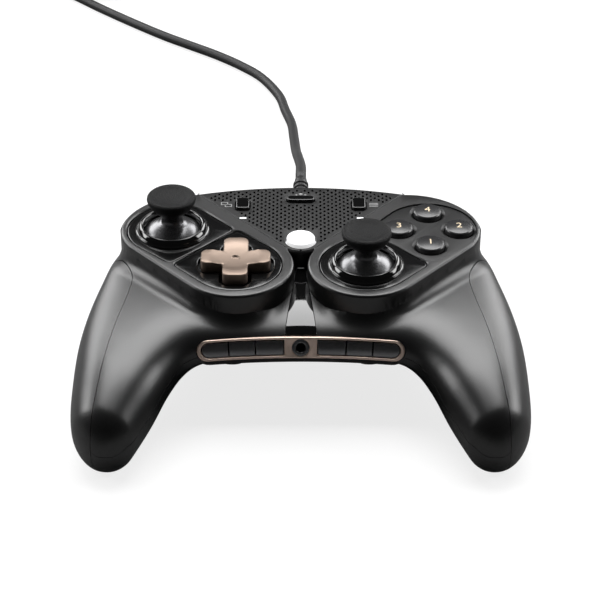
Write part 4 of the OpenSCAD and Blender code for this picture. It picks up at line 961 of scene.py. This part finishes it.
# %% [markdown]
# ## Thumbsticks
# A real thumbstick is a rubber cap on a stem, with a dome that closes the hole below it and a
# glossy collar round that hole. All are round, so each is a profile turned once about the
# stick's own axis. The corners of a profile are rounded before it is turned.

# %% Thumbsticks
STICK_H, CAP_R, CAP_T = 14.5, 9.0, 7.4
CAP = [(0, 2.6), (1.85, 2.6), (1.85, 0), (4.2, 0), (5.1, 0.6), (6.7, 1.9), (8.0, 3.3), (CAP_R - 0.25, 4.8),
       (CAP_R, 5.8), (CAP_R - 0.15, 6.6), (CAP_R - 0.9, 7.2), (CAP_R - 1.9, 7.1), (CAP_R - 3.6, 6.5),
       (3, 6.2), (0, 6.1)]
COLLAR = [(13.6, 0), (13.55, 0.5), (12.95, 0.85), (12.75, 1.4), (12.0, 2.4), (11.35, 2.75), (10.85, 2.5),
          (10.5, 1.8), (10.3, 0.95), (11.0, 0)]


def ring_of(r, *angles):
    return [(r * math.sin(math.radians(a)), r * math.cos(math.radians(a))) for a in angles]


stem_top = PIVOT + STICK_H - CAP_T
SHAFT = [(0, -2.4), (3, -2.4), *ring_of(DOME_R - 1.2, 17, 24, 31, 38), *ring_of(DOME_R, *range(44, 19, -2)),
         (4.7, 14.55), (4.1, 14.8), (3.8, 15.3), (3.7, 17), (4.2, stem_top), (1.8, stem_top),
         (1.8, stem_top + 2.5), (0, stem_top + 2.5)]
for name, at in STICKS.items():
    moving, centre = f"{name}_stick_shaft_body", move(*at, FACE_Z)
    cap = put(lathe(CAP, 96, 0.3), centre @ move(0, 0, STICK_H - CAP_T))
    piece(f"{name}_cap", cap, "cap_rubber", moving, [f"{name}_stick_cap"])
    pin = put(disc(1.05, -6.8, 6.8, steps=24), turn(90, "X"))
    shaft = put(joined(lathe(SHAFT, 96), pin), centre @ move(0, 0, -PIVOT))
    piece(f"{name}_shaft", shaft, "dome_grey", moving, [f"{name}_stick_shaft"])
    collar = put(lathe(COLLAR, 120, 0.25, closed=True), centre @ move(0, 0, -PLATE_DROP))
    piece(f"{name}_collar", collar, "piano_black", f"{name}_stick_unit_body", [f"{name}_stick_collar"])

# %% [markdown]
# ## Cross pad
# On the real pad the copper cross is dished, so that the thumb finds its middle. Two rounded
# bars make the plus sign, and a shallow ball takes the dish out of its top. The edge between
# dish and sides is then rounded, and a dimple marks the middle.

# %% Cross pad
DISH_R, DISH_LOW, DISH_TOP = 40, 2.3, 12
ball = [(DISH_R * math.sin(math.radians(a)), DISH_LOW + DISH_R - DISH_R * math.cos(math.radians(a)))
        for a in range(0, 27, 2)]
cross = cut_by(cross_solid(0, -1, 3.4), lathe(ball + [(ball[-1][0], DISH_TOP), (0, DISH_TOP)], 144))
soften(cross, 0.55, 4, 45, lambda e: max(v.co.z for v in e.verts) > 1.5)
pin = put(disc(0.8, -5.2, 5.2, steps=24), move(0, 0, -7.4) @ turn(90, "X"))
hub = joined(disc(2, -8.6, 0.4, steps=32), pin)
dimple = lathe([(0, 1.9), (1.1, 2.0), (1.7, 2.6), (0, 3.0)], 48)
cross = combine(cross, ("UNION", hub), ("DIFFERENCE", dimple))
piece("cross_pad", put(cross, move(*PAD, FACE_Z)), "copper", "dpad_cross_body", ["dpad_cross"])

# %% [markdown]
# ## Face buttons
# Each is a domed cap on a flange, turned from one profile. Their marks are plain numbers: text
# is made a mesh, divided finely and laid on the dome. A texture could show them too, but a
# mesh stays sharp in a close view.

# %% Face buttons
FLANGE_R, FLANGE_T, DOME_TOP, DOME_BALL = 5.9, 1.3, 1.5, 24
MARK_H, MARK_PROUD = 4.6, 0.03
BUTTON_LOW = -PLATE_DROP - PLATE_T - 0.3 - FLANGE_T


def dome_height(r):
    return DOME_TOP - DOME_BALL + math.sqrt(DOME_BALL * DOME_BALL - r * r)


def number_mark(number):
    """A number as a fine flat mesh, laid on the dome of a button."""
    text = bpy.data.curves.new("mark", "FONT")
    text.body, text.size, text.align_x, text.align_y = str(number), MARK_H, "CENTER", "CENTER"
    holder = bpy.data.objects.new("mark", text)
    scene.collection.objects.link(holder)
    mark = bmesh.new()
    mark.from_mesh(holder.to_mesh())
    bpy.data.objects.remove(holder)
    bmesh.ops.triangulate(mark, faces=mark.faces)
    bmesh.ops.subdivide_edges(mark, edges=mark.edges, cuts=2, use_grid_fill=True)
    for vert in mark.verts:
        vert.co.z = dome_height(vert.co.xy.length) + MARK_PROUD
    return mark


BUTTON = [(0, BUTTON_LOW), (FLANGE_R, BUTTON_LOW), (FLANGE_R, BUTTON_LOW + FLANGE_T),
          (BUTTON_R, BUTTON_LOW + FLANGE_T), (BUTTON_R, 0.3), (BUTTON_R - 0.1, 0.65),
          *[(r, dome_height(r)) for r in (4.75, 4, 3, 2, 1, 0)]]
for number, (name, at) in enumerate(BUTTONS.items(), 1):
    body, place = f"face_button_{name}_body", move(*at, FACE_Z)
    piece(f"button_{name}", put(lathe(BUTTON, 72, 0.1), place), "smoke_grey", body, [f"face_button_{name}"])
    piece(f"mark_{name}", put(number_mark(number), place), "legend", body)

# %% [markdown]
# ## Centre panel
# A matt panel whose weave catches the light. The openings are cut a little larger than the
# buttons, so that each button has a clear dark gap round it. The weave is a field of small
# oval dents in staggered rows, cut in one go and left out round every button, light and sign.
# Bump alone could hint at it, but real dents are part of the mesh itself.

# %% Centre panel
SMALL, SHARE, GUIDE_R = (5, 7.4, 1.2), (10.3, 3.4, 1.6), 5.4
DENT_PITCH, DENT_ROW, DENT_Y, DENT_R, DENT_DEEP, DENT_OVAL = 1.47, 2.7, 36, 0.5, 1.4, (0.95, 1.5, 1, 1)
# Places without dents: x and y of the middle, half width and half height
PLAIN = [(0, SHARE_Y + 1.1, 6.2, 4.2), (0, GUIDE_Y, 6.8, 6.8), (-MENU_X - 6.2, MENU_Y, 3.2, 2.4),
         (MENU_X + 5.6, MENU_Y, 2.6, 2.2)]
for side in (-1, 1):
    PLAIN += [(side * MENU_X, MENU_Y, 3.5, 4.8), (side * MENU_X, LIGHT_Y, 2.2, 1.4)]


def opening(size, x, y):
    w, h, r = size
    return rounded_box(w + 2 * GAP, h + 2 * GAP, r + GAP, *THROUGH, x, y)


openings = [opening(SMALL, -MENU_X, MENU_Y), opening(SMALL, MENU_X, MENU_Y), opening(SHARE, 0, SHARE_Y),
            disc(GUIDE_R + GAP, *THROUGH, 0, GUIDE_Y)]
panel = soften(cut_by(panel_solid(-0.75, FACE_Z - 2, FACE_Z), *openings), 0.3)
dents = bmesh.new()
for column in range(-27, 28):
    for line in range(-11, 11):
        x, y = DENT_PITCH * column, DENT_Y + DENT_ROW * (line + 0.5 * (column % 2))
        if panel_gap(x, y) < -2.0 and not any(abs(x - a) < w and abs(y - b) < h for a, b, w, h in PLAIN):
            bmesh.ops.create_cone(dents, cap_ends=True, segments=8, radius1=DENT_R, radius2=DENT_R,
                                  depth=DENT_DEEP, matrix=move(x, y, FACE_Z) @ Matrix.Diagonal(DENT_OVAL))
piece("panel", cut_by(panel, dents), "textured_black", nodes=["centre_panel"])

# %% [markdown]
# ## Panel buttons
# Three small keys and the round guide key. Each is a cap through the panel with a lip under
# it, which keeps the cap from falling out, and a stem down to its switch. One helper makes
# all four, because they differ only in outline.

# %% Panel buttons
KEY_Z, LIP_Z, STEM_Z, STEM_R, KEY_ROUND = (-3.4, 1.1), (-3.5, -2.3), (-6.2, -2), 1.2, 0.45
SMALL_LIP, SHARE_LIP, GUIDE_LIP_R = (7, 9.4, 2.2), (12.3, 5.4, 2.6), 6.4


def panel_button(name, cap, lip, x, y, look="piano_black"):
    """A cap through the panel, a lip under it and a stem to its switch."""
    soften(cap, KEY_ROUND, 4, where=lambda e: min(v.co.z for v in e.verts) > 0.5)
    whole = put(joined(cap, lip, disc(STEM_R, *STEM_Z, steps=32)), move(x, y, FACE_Z))
    piece(f"{name}_key", whole, look, f"{name}_button_body", [f"{name}_button"])


for name, x in (("view", -MENU_X), ("menu", MENU_X)):
    panel_button(name, rounded_box(*SMALL, *KEY_Z), rounded_box(*SMALL_LIP, *LIP_Z), x, MENU_Y)
panel_button("share", rounded_box(*SHARE, *KEY_Z), rounded_box(*SHARE_LIP, *LIP_Z), 0, SHARE_Y)
guide = disc(GUIDE_R - 0.25, *KEY_Z, steps=96)
panel_button("guide", guide, disc(GUIDE_LIP_R, *LIP_Z), 0, GUIDE_Y, "white_light")

# %% [markdown]
# ## Front bar
# A copper frame on an arc, six keys in its two windows and the headset socket between them.
# All but the round socket are bands of the same arc, so they stay parallel. A sloping block
# takes the upper edge off each key, which gives it two facets. The glossy strip that runs down
# to the bar is finished here too.

# %% Front bar
hole = put(disc(SOCKET_R + 0.1, -9, 9), AT_BAR)
bezel = cut_by(whole_bar(0, 0, -2, BAR_TOP), *bar_windows(0, -9, 9), hole)
# The frame takes the lighter copy of the copper, which is painted light for its dark, front-facing place.
piece("bar_frame", soften(bezel, 0.3), "bezel_copper_painted_light", nodes=["front_bezel"])
BAR_KEY_GAP, BAR_KEY_Z, BAR_KEY_SLOPE = 0.2, (-3.4, 0.3), -24
at_slope = AT_BAR @ move(0, 10.6, BAR_KEY_Z[1]) @ turn(BAR_KEY_SLOPE, "X")
for i in range(6):
    k = 2 - i if i < 3 else i - 3
    x0 = SPLITS[k] + (BAR_KEY_GAP if k else 0)
    x1 = SPLITS[k + 1] - (0 if k == 2 else BAR_KEY_GAP)
    key = bar_solid(x0, x1, WINDOW - GAP, *BAR_KEY_Z, False, k == 2)
    slope = put(rounded_box(100, 20, 0.1, 0, 20), at_slope)
    key = soften(cut_by(mirrored(key) if i < 3 else key, slope), 0.28, 3, 15)
    name = f"bar_button_{i + 1}"
    piece(f"bar_key_{i + 1}", key, "bar_grey", f"{name}_body", [name])
SOCKET = [(0, -12.9), (SOCKET_R, -12.9), (SOCKET_R, BAR_TOP), (1.75, BAR_TOP), (1.75, -11.9), (0, -11.9)]
piece("socket", put(lathe(SOCKET, 64, 0.15), AT_BAR), "bar_grey", nodes=["headset_jack"])
strip = cut_by(strip_solid(0, STRIP_PROUD, STRIP_SUNK), *bar_pocket())
piece("strip", soften(strip, 0.22), "piano_black", nodes=["centre_strip"])

# %% [markdown]
# ## Marks on the panel
# Two status lights, and plain signs beside the small buttons: two overlapping frames, three
# bars and three dots. Each is a thin raised shape on the panel, so that it has an edge of its
# own and stays sharp, which a painted texture wouldn't.

# %% Marks on the panel
LIGHT, SIGN_Z, SIGN_LINE = (2.5, 0.9, 0.3), (FACE_Z - 0.1, FACE_Z + 0.07), 0.36
for name, side in SIDES.items():
    light = rounded_box(*LIGHT, FACE_Z - 0.2, FACE_Z + 0.15, side * MENU_X + 0.3, LIGHT_Y)
    piece(f"status_light_{name}", soften(light, 0.08, 2), "white_light")


def thin_frame(w, h, x, y):
    """A thin rectangular frame."""
    inside = rounded_box(w - 2 * SIGN_LINE, h - 2 * SIGN_LINE, 0.15, FACE_Z - 1, FACE_Z + 1, x, y, 4)
    return cut_by(rounded_box(w, h, 0.3, *SIGN_Z, x, y, 4), inside)


signs = [thin_frame(2.7, 2.0, -MENU_X + x, MENU_Y + y) for x, y in ((-6.9, 0.9), (-5.4, -0.5))]
signs += [rounded_box(3.4, 0.5, 0.15, *SIGN_Z, MENU_X + 5.6, MENU_Y + y, 4) for y in (-1.0, 0.0, 1.0)]
DOTS = ((-1.7, 3.6, 0.4), (0, 4.2, 0.7), (1.7, 3.6, 0.4))
signs += [disc(r, *SIGN_Z, x, SHARE_Y + y, 24) for x, y, r in DOTS]
for number, sign in enumerate(signs, 1):
    piece(f"sign_{number}", sign, "sign_grey")

# %% [markdown]
# ## Bumpers
# A bumper is a glossy band round the back of the shoulder, swung on a pin near the middle. Its
# lower edge rises towards the end, which is the part that travels most. It could be swept
# along the edge, but cut out between two grown outlines of the shell it keeps an even gap.

# %% Bumpers
BUMPER_LOW, BUMPER_HIGH, BUMPER_RISE, BUMPER_END = 33.6, 42.8, 2.4, 36
BUMPER_OUT, BUMPER_GAP, BUMPER_THIN, EYE_R, PIN_HOLE_R = 3.1, 0.5, 2.1, 4.6, 1.55
FAR = 150


def back_solid(grow, low, high, thin=0.0):
    """The back of the right shoulder and half of the panel, grown outwards, less at the side."""
    x, y, r = SHOULDER
    w = PANEL_CORNER[0]
    half = combine(disc(ARC_R + grow, low, high, 0, FACE_BACK_Y - ARC_R, 400),
                   ("INTERSECT", rounded_box(w, 80, 0.1, low - 1, high + 1, w / 2, BACK_Y + 40)))
    return joined(disc(r + grow - thin, low, high, x - 0.7 * thin, y + thin, 160), half)


def bumper_band():
    """The right bumper, from its pin round to its end at the side."""
    x, y, r = SHOULDER
    low, high, a = BUMPER_LOW, BUMPER_HIGH, math.radians(BUMPER_END)
    at_pin = move(PIN_X, FACE_BACK_Y, PIN_Z) @ TO_BACK
    keep = raised([(PIN_X, y + 0.6 * r), (PIN_X, FAR), (FAR, FAR),
                   (x + 110 * math.cos(a), y + 110 * math.sin(a)), (x, y)], low - 1, high + 1)
    band = combine(back_solid(BUMPER_OUT, low, high, BUMPER_THIN), ("INTERSECT", keep),
                   ("DIFFERENCE", back_solid(BUMPER_GAP, low - 1, high + 1)))
    eye = combine(put(disc(EYE_R, -12, 20), at_pin), ("INTERSECT", back_solid(BUMPER_OUT, 20, 60)),
                  ("DIFFERENCE", back_solid(BUMPER_GAP, 19, 61)))
    band = combine(band, ("UNION", eye), ("DIFFERENCE", put(disc(PIN_HOLE_R, -40, 40), at_pin)))
    wedge = raised([(18, 25), (90, 25), (90, low + BUMPER_RISE), (18, low)], -90, 0)
    return soften(cut_by(band, put(wedge, turn(90, "X"))), 0.7, 4)


print("height of a bumper:", round(BUMPER_HIGH - BUMPER_LOW, 1))

# %% [markdown]
# ## Triggers
# A trigger is one smooth outline raised across its width, with the bore for its pin and room
# for the spring. The outline is a closed line through a few points, since its curve all round
# is what a finger feels. Bumper and trigger are made here for one side and then for the other,
# and the brackets that hold the triggers are trimmed to the inside of the body.

# %% Triggers
TRIGGER = [(-3.8, -0.5), (-2.4, 3.6), (4, 4.6), (10.6, 4.5), (12.8, 1.2), (12.5, -4), (10.9, -10),
           (10.2, -15), (10.9, -19), (9, -20.6), (6.2, -18.6), (5, -13), (2.6, -7.4), (-1.6, -4.2)]
TRIGGER_HALF, TRIGGER_ROUND, SPRING_R, SPRING_FROM = 12, 1.8, 4.4, 6


def smooth_loop(points, steps, over=3):
    """A closed smooth line: it runs past its start at both ends and is trimmed there."""
    line = smooth_line(points[-over:] + points + points[:over], steps)
    return line[over * steps:(over + len(points)) * steps]


def pin_bore():
    return put(disc(PIN_HOLE_R, -30, 30, steps=32), TO_SIDE)


def trigger_blade():
    outline = [tuple(p) for p in smooth_loop(TRIGGER, 6)]
    blade = soften(across(outline, -TRIGGER_HALF, TRIGGER_HALF), TRIGGER_ROUND, 6)
    return cut_by(blade, pin_bore(), put(disc(SPRING_R, SPRING_FROM, 20, steps=48), TO_SIDE))


for name, side in SIDES.items():
    band = mirrored(bumper_band()) if side < 0 else bumper_band()
    piece(f"bumper_{name}", band, "piano_black", f"{name}_bumper_body", [f"{name}_bumper"])
    blade = put(trigger_blade(), move(side * TRIGGER_X, TRIGGER_Y, TRIGGER_Z))
    piece(f"trigger_{name}", blade, "satin_black", f"{name}_trigger_body", [f"{name}_trigger"])

# %% Trigger brackets
BRACKET, BRACKET_Z, BRACKET_Y, BRACKET_TRIM = (27.6, 1.2, 0.1), (3.3, 34.5), 45, 1.2
EAR, EAR_Z, EAR_X, EAR_Y = (1.5, 7.9, 0.1), (23.6, 30.4), 13.05, 49.45
brackets = []
for side in (-1, 1):
    brackets.append(rounded_box(*BRACKET, *BRACKET_Z, side * TRIGGER_X, BRACKET_Y))
    for s in (-1, 1):
        ear = rounded_box(*EAR, *EAR_Z, side * TRIGGER_X + s * EAR_X, EAR_Y)
        brackets.append(cut_by(ear, put(pin_bore(), move(side * TRIGGER_X, TRIGGER_Y, TRIGGER_Z))))
trimmed = combine(brackets[0], *[("UNION", bit) for bit in brackets[1:]],
                  ("INTERSECT", body_solid(BRACKET_TRIM, fine=False)))
piece("trigger_brackets_trimmed", trimmed, "satin_black", nodes=["trigger_brackets"])

# %% [markdown]
# ## Rear buttons
# Four long buttons under the body, for the fingers that hold it. Each stands square to the
# slope it comes through, and a flange inside keeps it from falling out, so a rounded prism on
# a wider one is all it needs.

# %% Rear buttons
REAR_CAP, REAR_FLANGE, REAR_Z, FLANGE_LOW = (8, 14, 3.98), (10.4, 16.4, 5.1), (-2.2, 4.1), 3.1


def outside(edge):
    return max(v.co.z for v in edge.verts) < 0


for k, (t, v) in enumerate(REAR):
    for number, side in ((2 * k + 1, -1), (2 * k + 2, 1)):
        cap = soften(rounded_box(*REAR_CAP, *REAR_Z), 0.7, 4, where=outside)
        cap = put(joined(cap, rounded_box(*REAR_FLANGE, FLANGE_LOW, REAR_Z[1])), at_rear(t, v, side))
        name = f"rear_button_{number}"
        piece(f"paddle_{number}", cap, "satin_black", f"{name}_body", [name])

# %% [markdown]
# ## Cord ends
# The boot is a turned profile with raised rings that let it bend. The plug has a moulded grip
# with grooves for the fingers, a metal shell and a pale tongue, and a strap keeps the coil
# together. Plain prisms do for plug and strap, because these are moulded or folded straight.

# %% Boot
BOOT = [(0, -5), (2.2, -5), (2.2, 0), (4.6, 0), (4.6, 6.2), (3.9, 7.6), (2.4, 8.2)]
for z in (8.8, 11.7, 14.6, 17.5, 20.4):
    BOOT += [(2.4, z), (3.0, z + 0.4), (3.0, z + 1.9), (2.4, z + 2.3)]
BOOT += [(2.5, 23.4), (2.3, 26), (0, 26)]
boot = put(lathe(BOOT, 48, 0.18), move(*CORD_EXIT) @ TO_BACK)
boot = piece("boot", boot, "plug_plastic", nodes=["cable_boot"])

# %% Plug
AT_PLUG = move(*PLUG_AT) @ turn(math.degrees(math.atan2(PLUG_WAY.y, PLUG_WAY.x)))
ALONG = TO_SIDE @ turn(90)
GRIP, GROOVE, RELIEF = (15, 8, 2.4), (0.8, 9, 0.3), [(0, 0), (2.4, 0), (3, 9.6), (0, 9.6)]
METAL, MOUTH, NOTCH, TONGUE = (12, 4.5, 0.5), (11.2, 3.7, 0.3), (2.2, 2.2, 0.2), (10.6, 1.7, 0.2)
grip = soften(put(rounded_box(*GRIP, 9, 35), ALONG), 0.8, 3, 60)
grooves = [put(rounded_box(*GROOVE, 3.55, 6), move(x)) for x in range(17, 28, 2)]
relief = put(lathe(RELIEF, 40, 0.2), TO_SIDE)
grip = combine(grip, *[("DIFFERENCE", groove) for groove in grooves], ("UNION", relief))
plug = piece("plug_grip", put(grip, AT_PLUG), "plug_plastic", nodes=["usb_plug"])
metal = cut_by(put(rounded_box(*METAL, 34.5, 47), ALONG), put(rounded_box(*MOUTH, 36, 50), ALONG))
for x in (38, 43):
    metal = cut_by(metal, *[put(rounded_box(*NOTCH, 1, 4), move(x, s * 2.6)) for s in (-1, 1)])
shell = piece("plug_shell", put(metal, AT_PLUG), "steel")
tongue = put(rounded_box(*TONGUE, 35.5, 46), ALONG)
tongue = piece("plug_tongue", put(tongue, AT_PLUG @ move(0, 0, -0.7)), "pale_plastic")

# %% Strap
STRAP_WAY, STRAP_R, STRAP_Z, STRAP, STRAP_HOLE = 300, 26.4, 9.85, (23.4, 19.6, 4.2), (22.2, 18.4, 3.6)
way = math.radians(STRAP_WAY)
at_strap = move(COIL_AT.x + STRAP_R * math.cos(way), COIL_AT.y + STRAP_R * math.sin(way), STRAP_Z)
inside = rounded_box(*STRAP_HOLE, -5, 5, segments=10)
band = soften(cut_by(rounded_box(*STRAP, -4, 4, segments=10), inside), 0.15, 2, 60)
strap = piece("coil_strap", put(band, at_strap @ turn(STRAP_WAY) @ turn(90, "X")), "plug_plastic")

# %% [markdown]
# ## Inside pieces
# Boards, springs, pins, motors and gimbals are right as they come from the model. They could
# be modelled again, but they hardly show, so they only take a finish here.

# %% Inside pieces
for entry in frame["record"]["subparts"]:
    node = frame["nodes"][entry["node"]]
    node.data.materials.clear()
    node.data.materials.append(FINISH[entry["material_slot"]])
print("model pieces shown:", sum(not n.hide_render for n in frame["nodes"].values()))

# %% [markdown]
# ## Table
# A wide white table, as in a product picture. The camera sees it white, and the black pieces
# see a darker one, as if black card stood in front of them. The light path tells the two
# apart, which saves placing such cards.

# %% Table
TABLE_HALF, TABLE_TONE, TABLE_SEEN = 4.0, 0.22, 0.79
bm = bmesh.new()
bmesh.ops.create_grid(bm, x_segments=1, y_segments=1, size=TABLE_HALF)
mesh = bpy.data.meshes.new("table")
bm.to_mesh(mesh)
bm.free()
table = bpy.data.objects.new("table", mesh)
scene.collection.objects.link(table)
look, tree, paper = net_of("table")
paper["Roughness"].default_value = 0.9
paper["Specular IOR Level"].default_value = 0.0
paper["Base Color"].default_value = (TABLE_TONE, TABLE_TONE, TABLE_TONE, 1)
paper["Emission Strength"].default_value = 1.0
seen = Value(tree).node("LightPath", out="Is Camera Ray")
tree.links.new((seen * TABLE_SEEN).socket, paper["Emission Color"])
mesh.materials.append(look)
print("width of the table in metres:", 2 * TABLE_HALF)

# %% [markdown]
# ## Light
# One broad lamp behind and above draws the long highlights on the grips, and two on each side
# mark the edges. Nothing shines from the front, so steep faces stay black. Lamps with an area
# are used because a point of light would make small hard spots on glossy plastic.

# %% Light
LAMP_AIM, ROOM_LIGHT = (0, 0, 0.03), 0.03
LAMPS = {
    "back": ((0, 0.72, 1.41), (1.4, 1.0), 35),
    "left": ((-1.05, 0.3, 0.55), (0.5, 0.5), 6.5),
    "right": ((1.05, 0.3, 0.55), (0.5, 0.5), 6.5),
    "left_back": ((-0.8, 1.0, 0.6), (0.7, 0.6), 9),
    "right_back": ((0.8, 1.0, 0.6), (0.7, 0.6), 9),
}
for name, (place, size, watts) in LAMPS.items():
    data = bpy.data.lights.new(name, "AREA")
    data.shape, data.size, data.size_y, data.energy = "RECTANGLE", *size, watts
    lamp = bpy.data.objects.new(name, data)
    lamp.location = place
    lamp.rotation_euler = (Vector(LAMP_AIM) - Vector(place)).to_track_quat("-Z", "Y").to_euler()
    scene.collection.objects.link(lamp)
scene.world = bpy.data.worlds.new("room")
scene.world.use_nodes = True
room = scene.world.node_tree.nodes["Background"].inputs
room["Color"].default_value = (1, 1, 1, 1)
room["Strength"].default_value = ROOM_LIGHT
scene.view_settings.view_transform = "Standard"
print("lamps:", len(LAMPS))
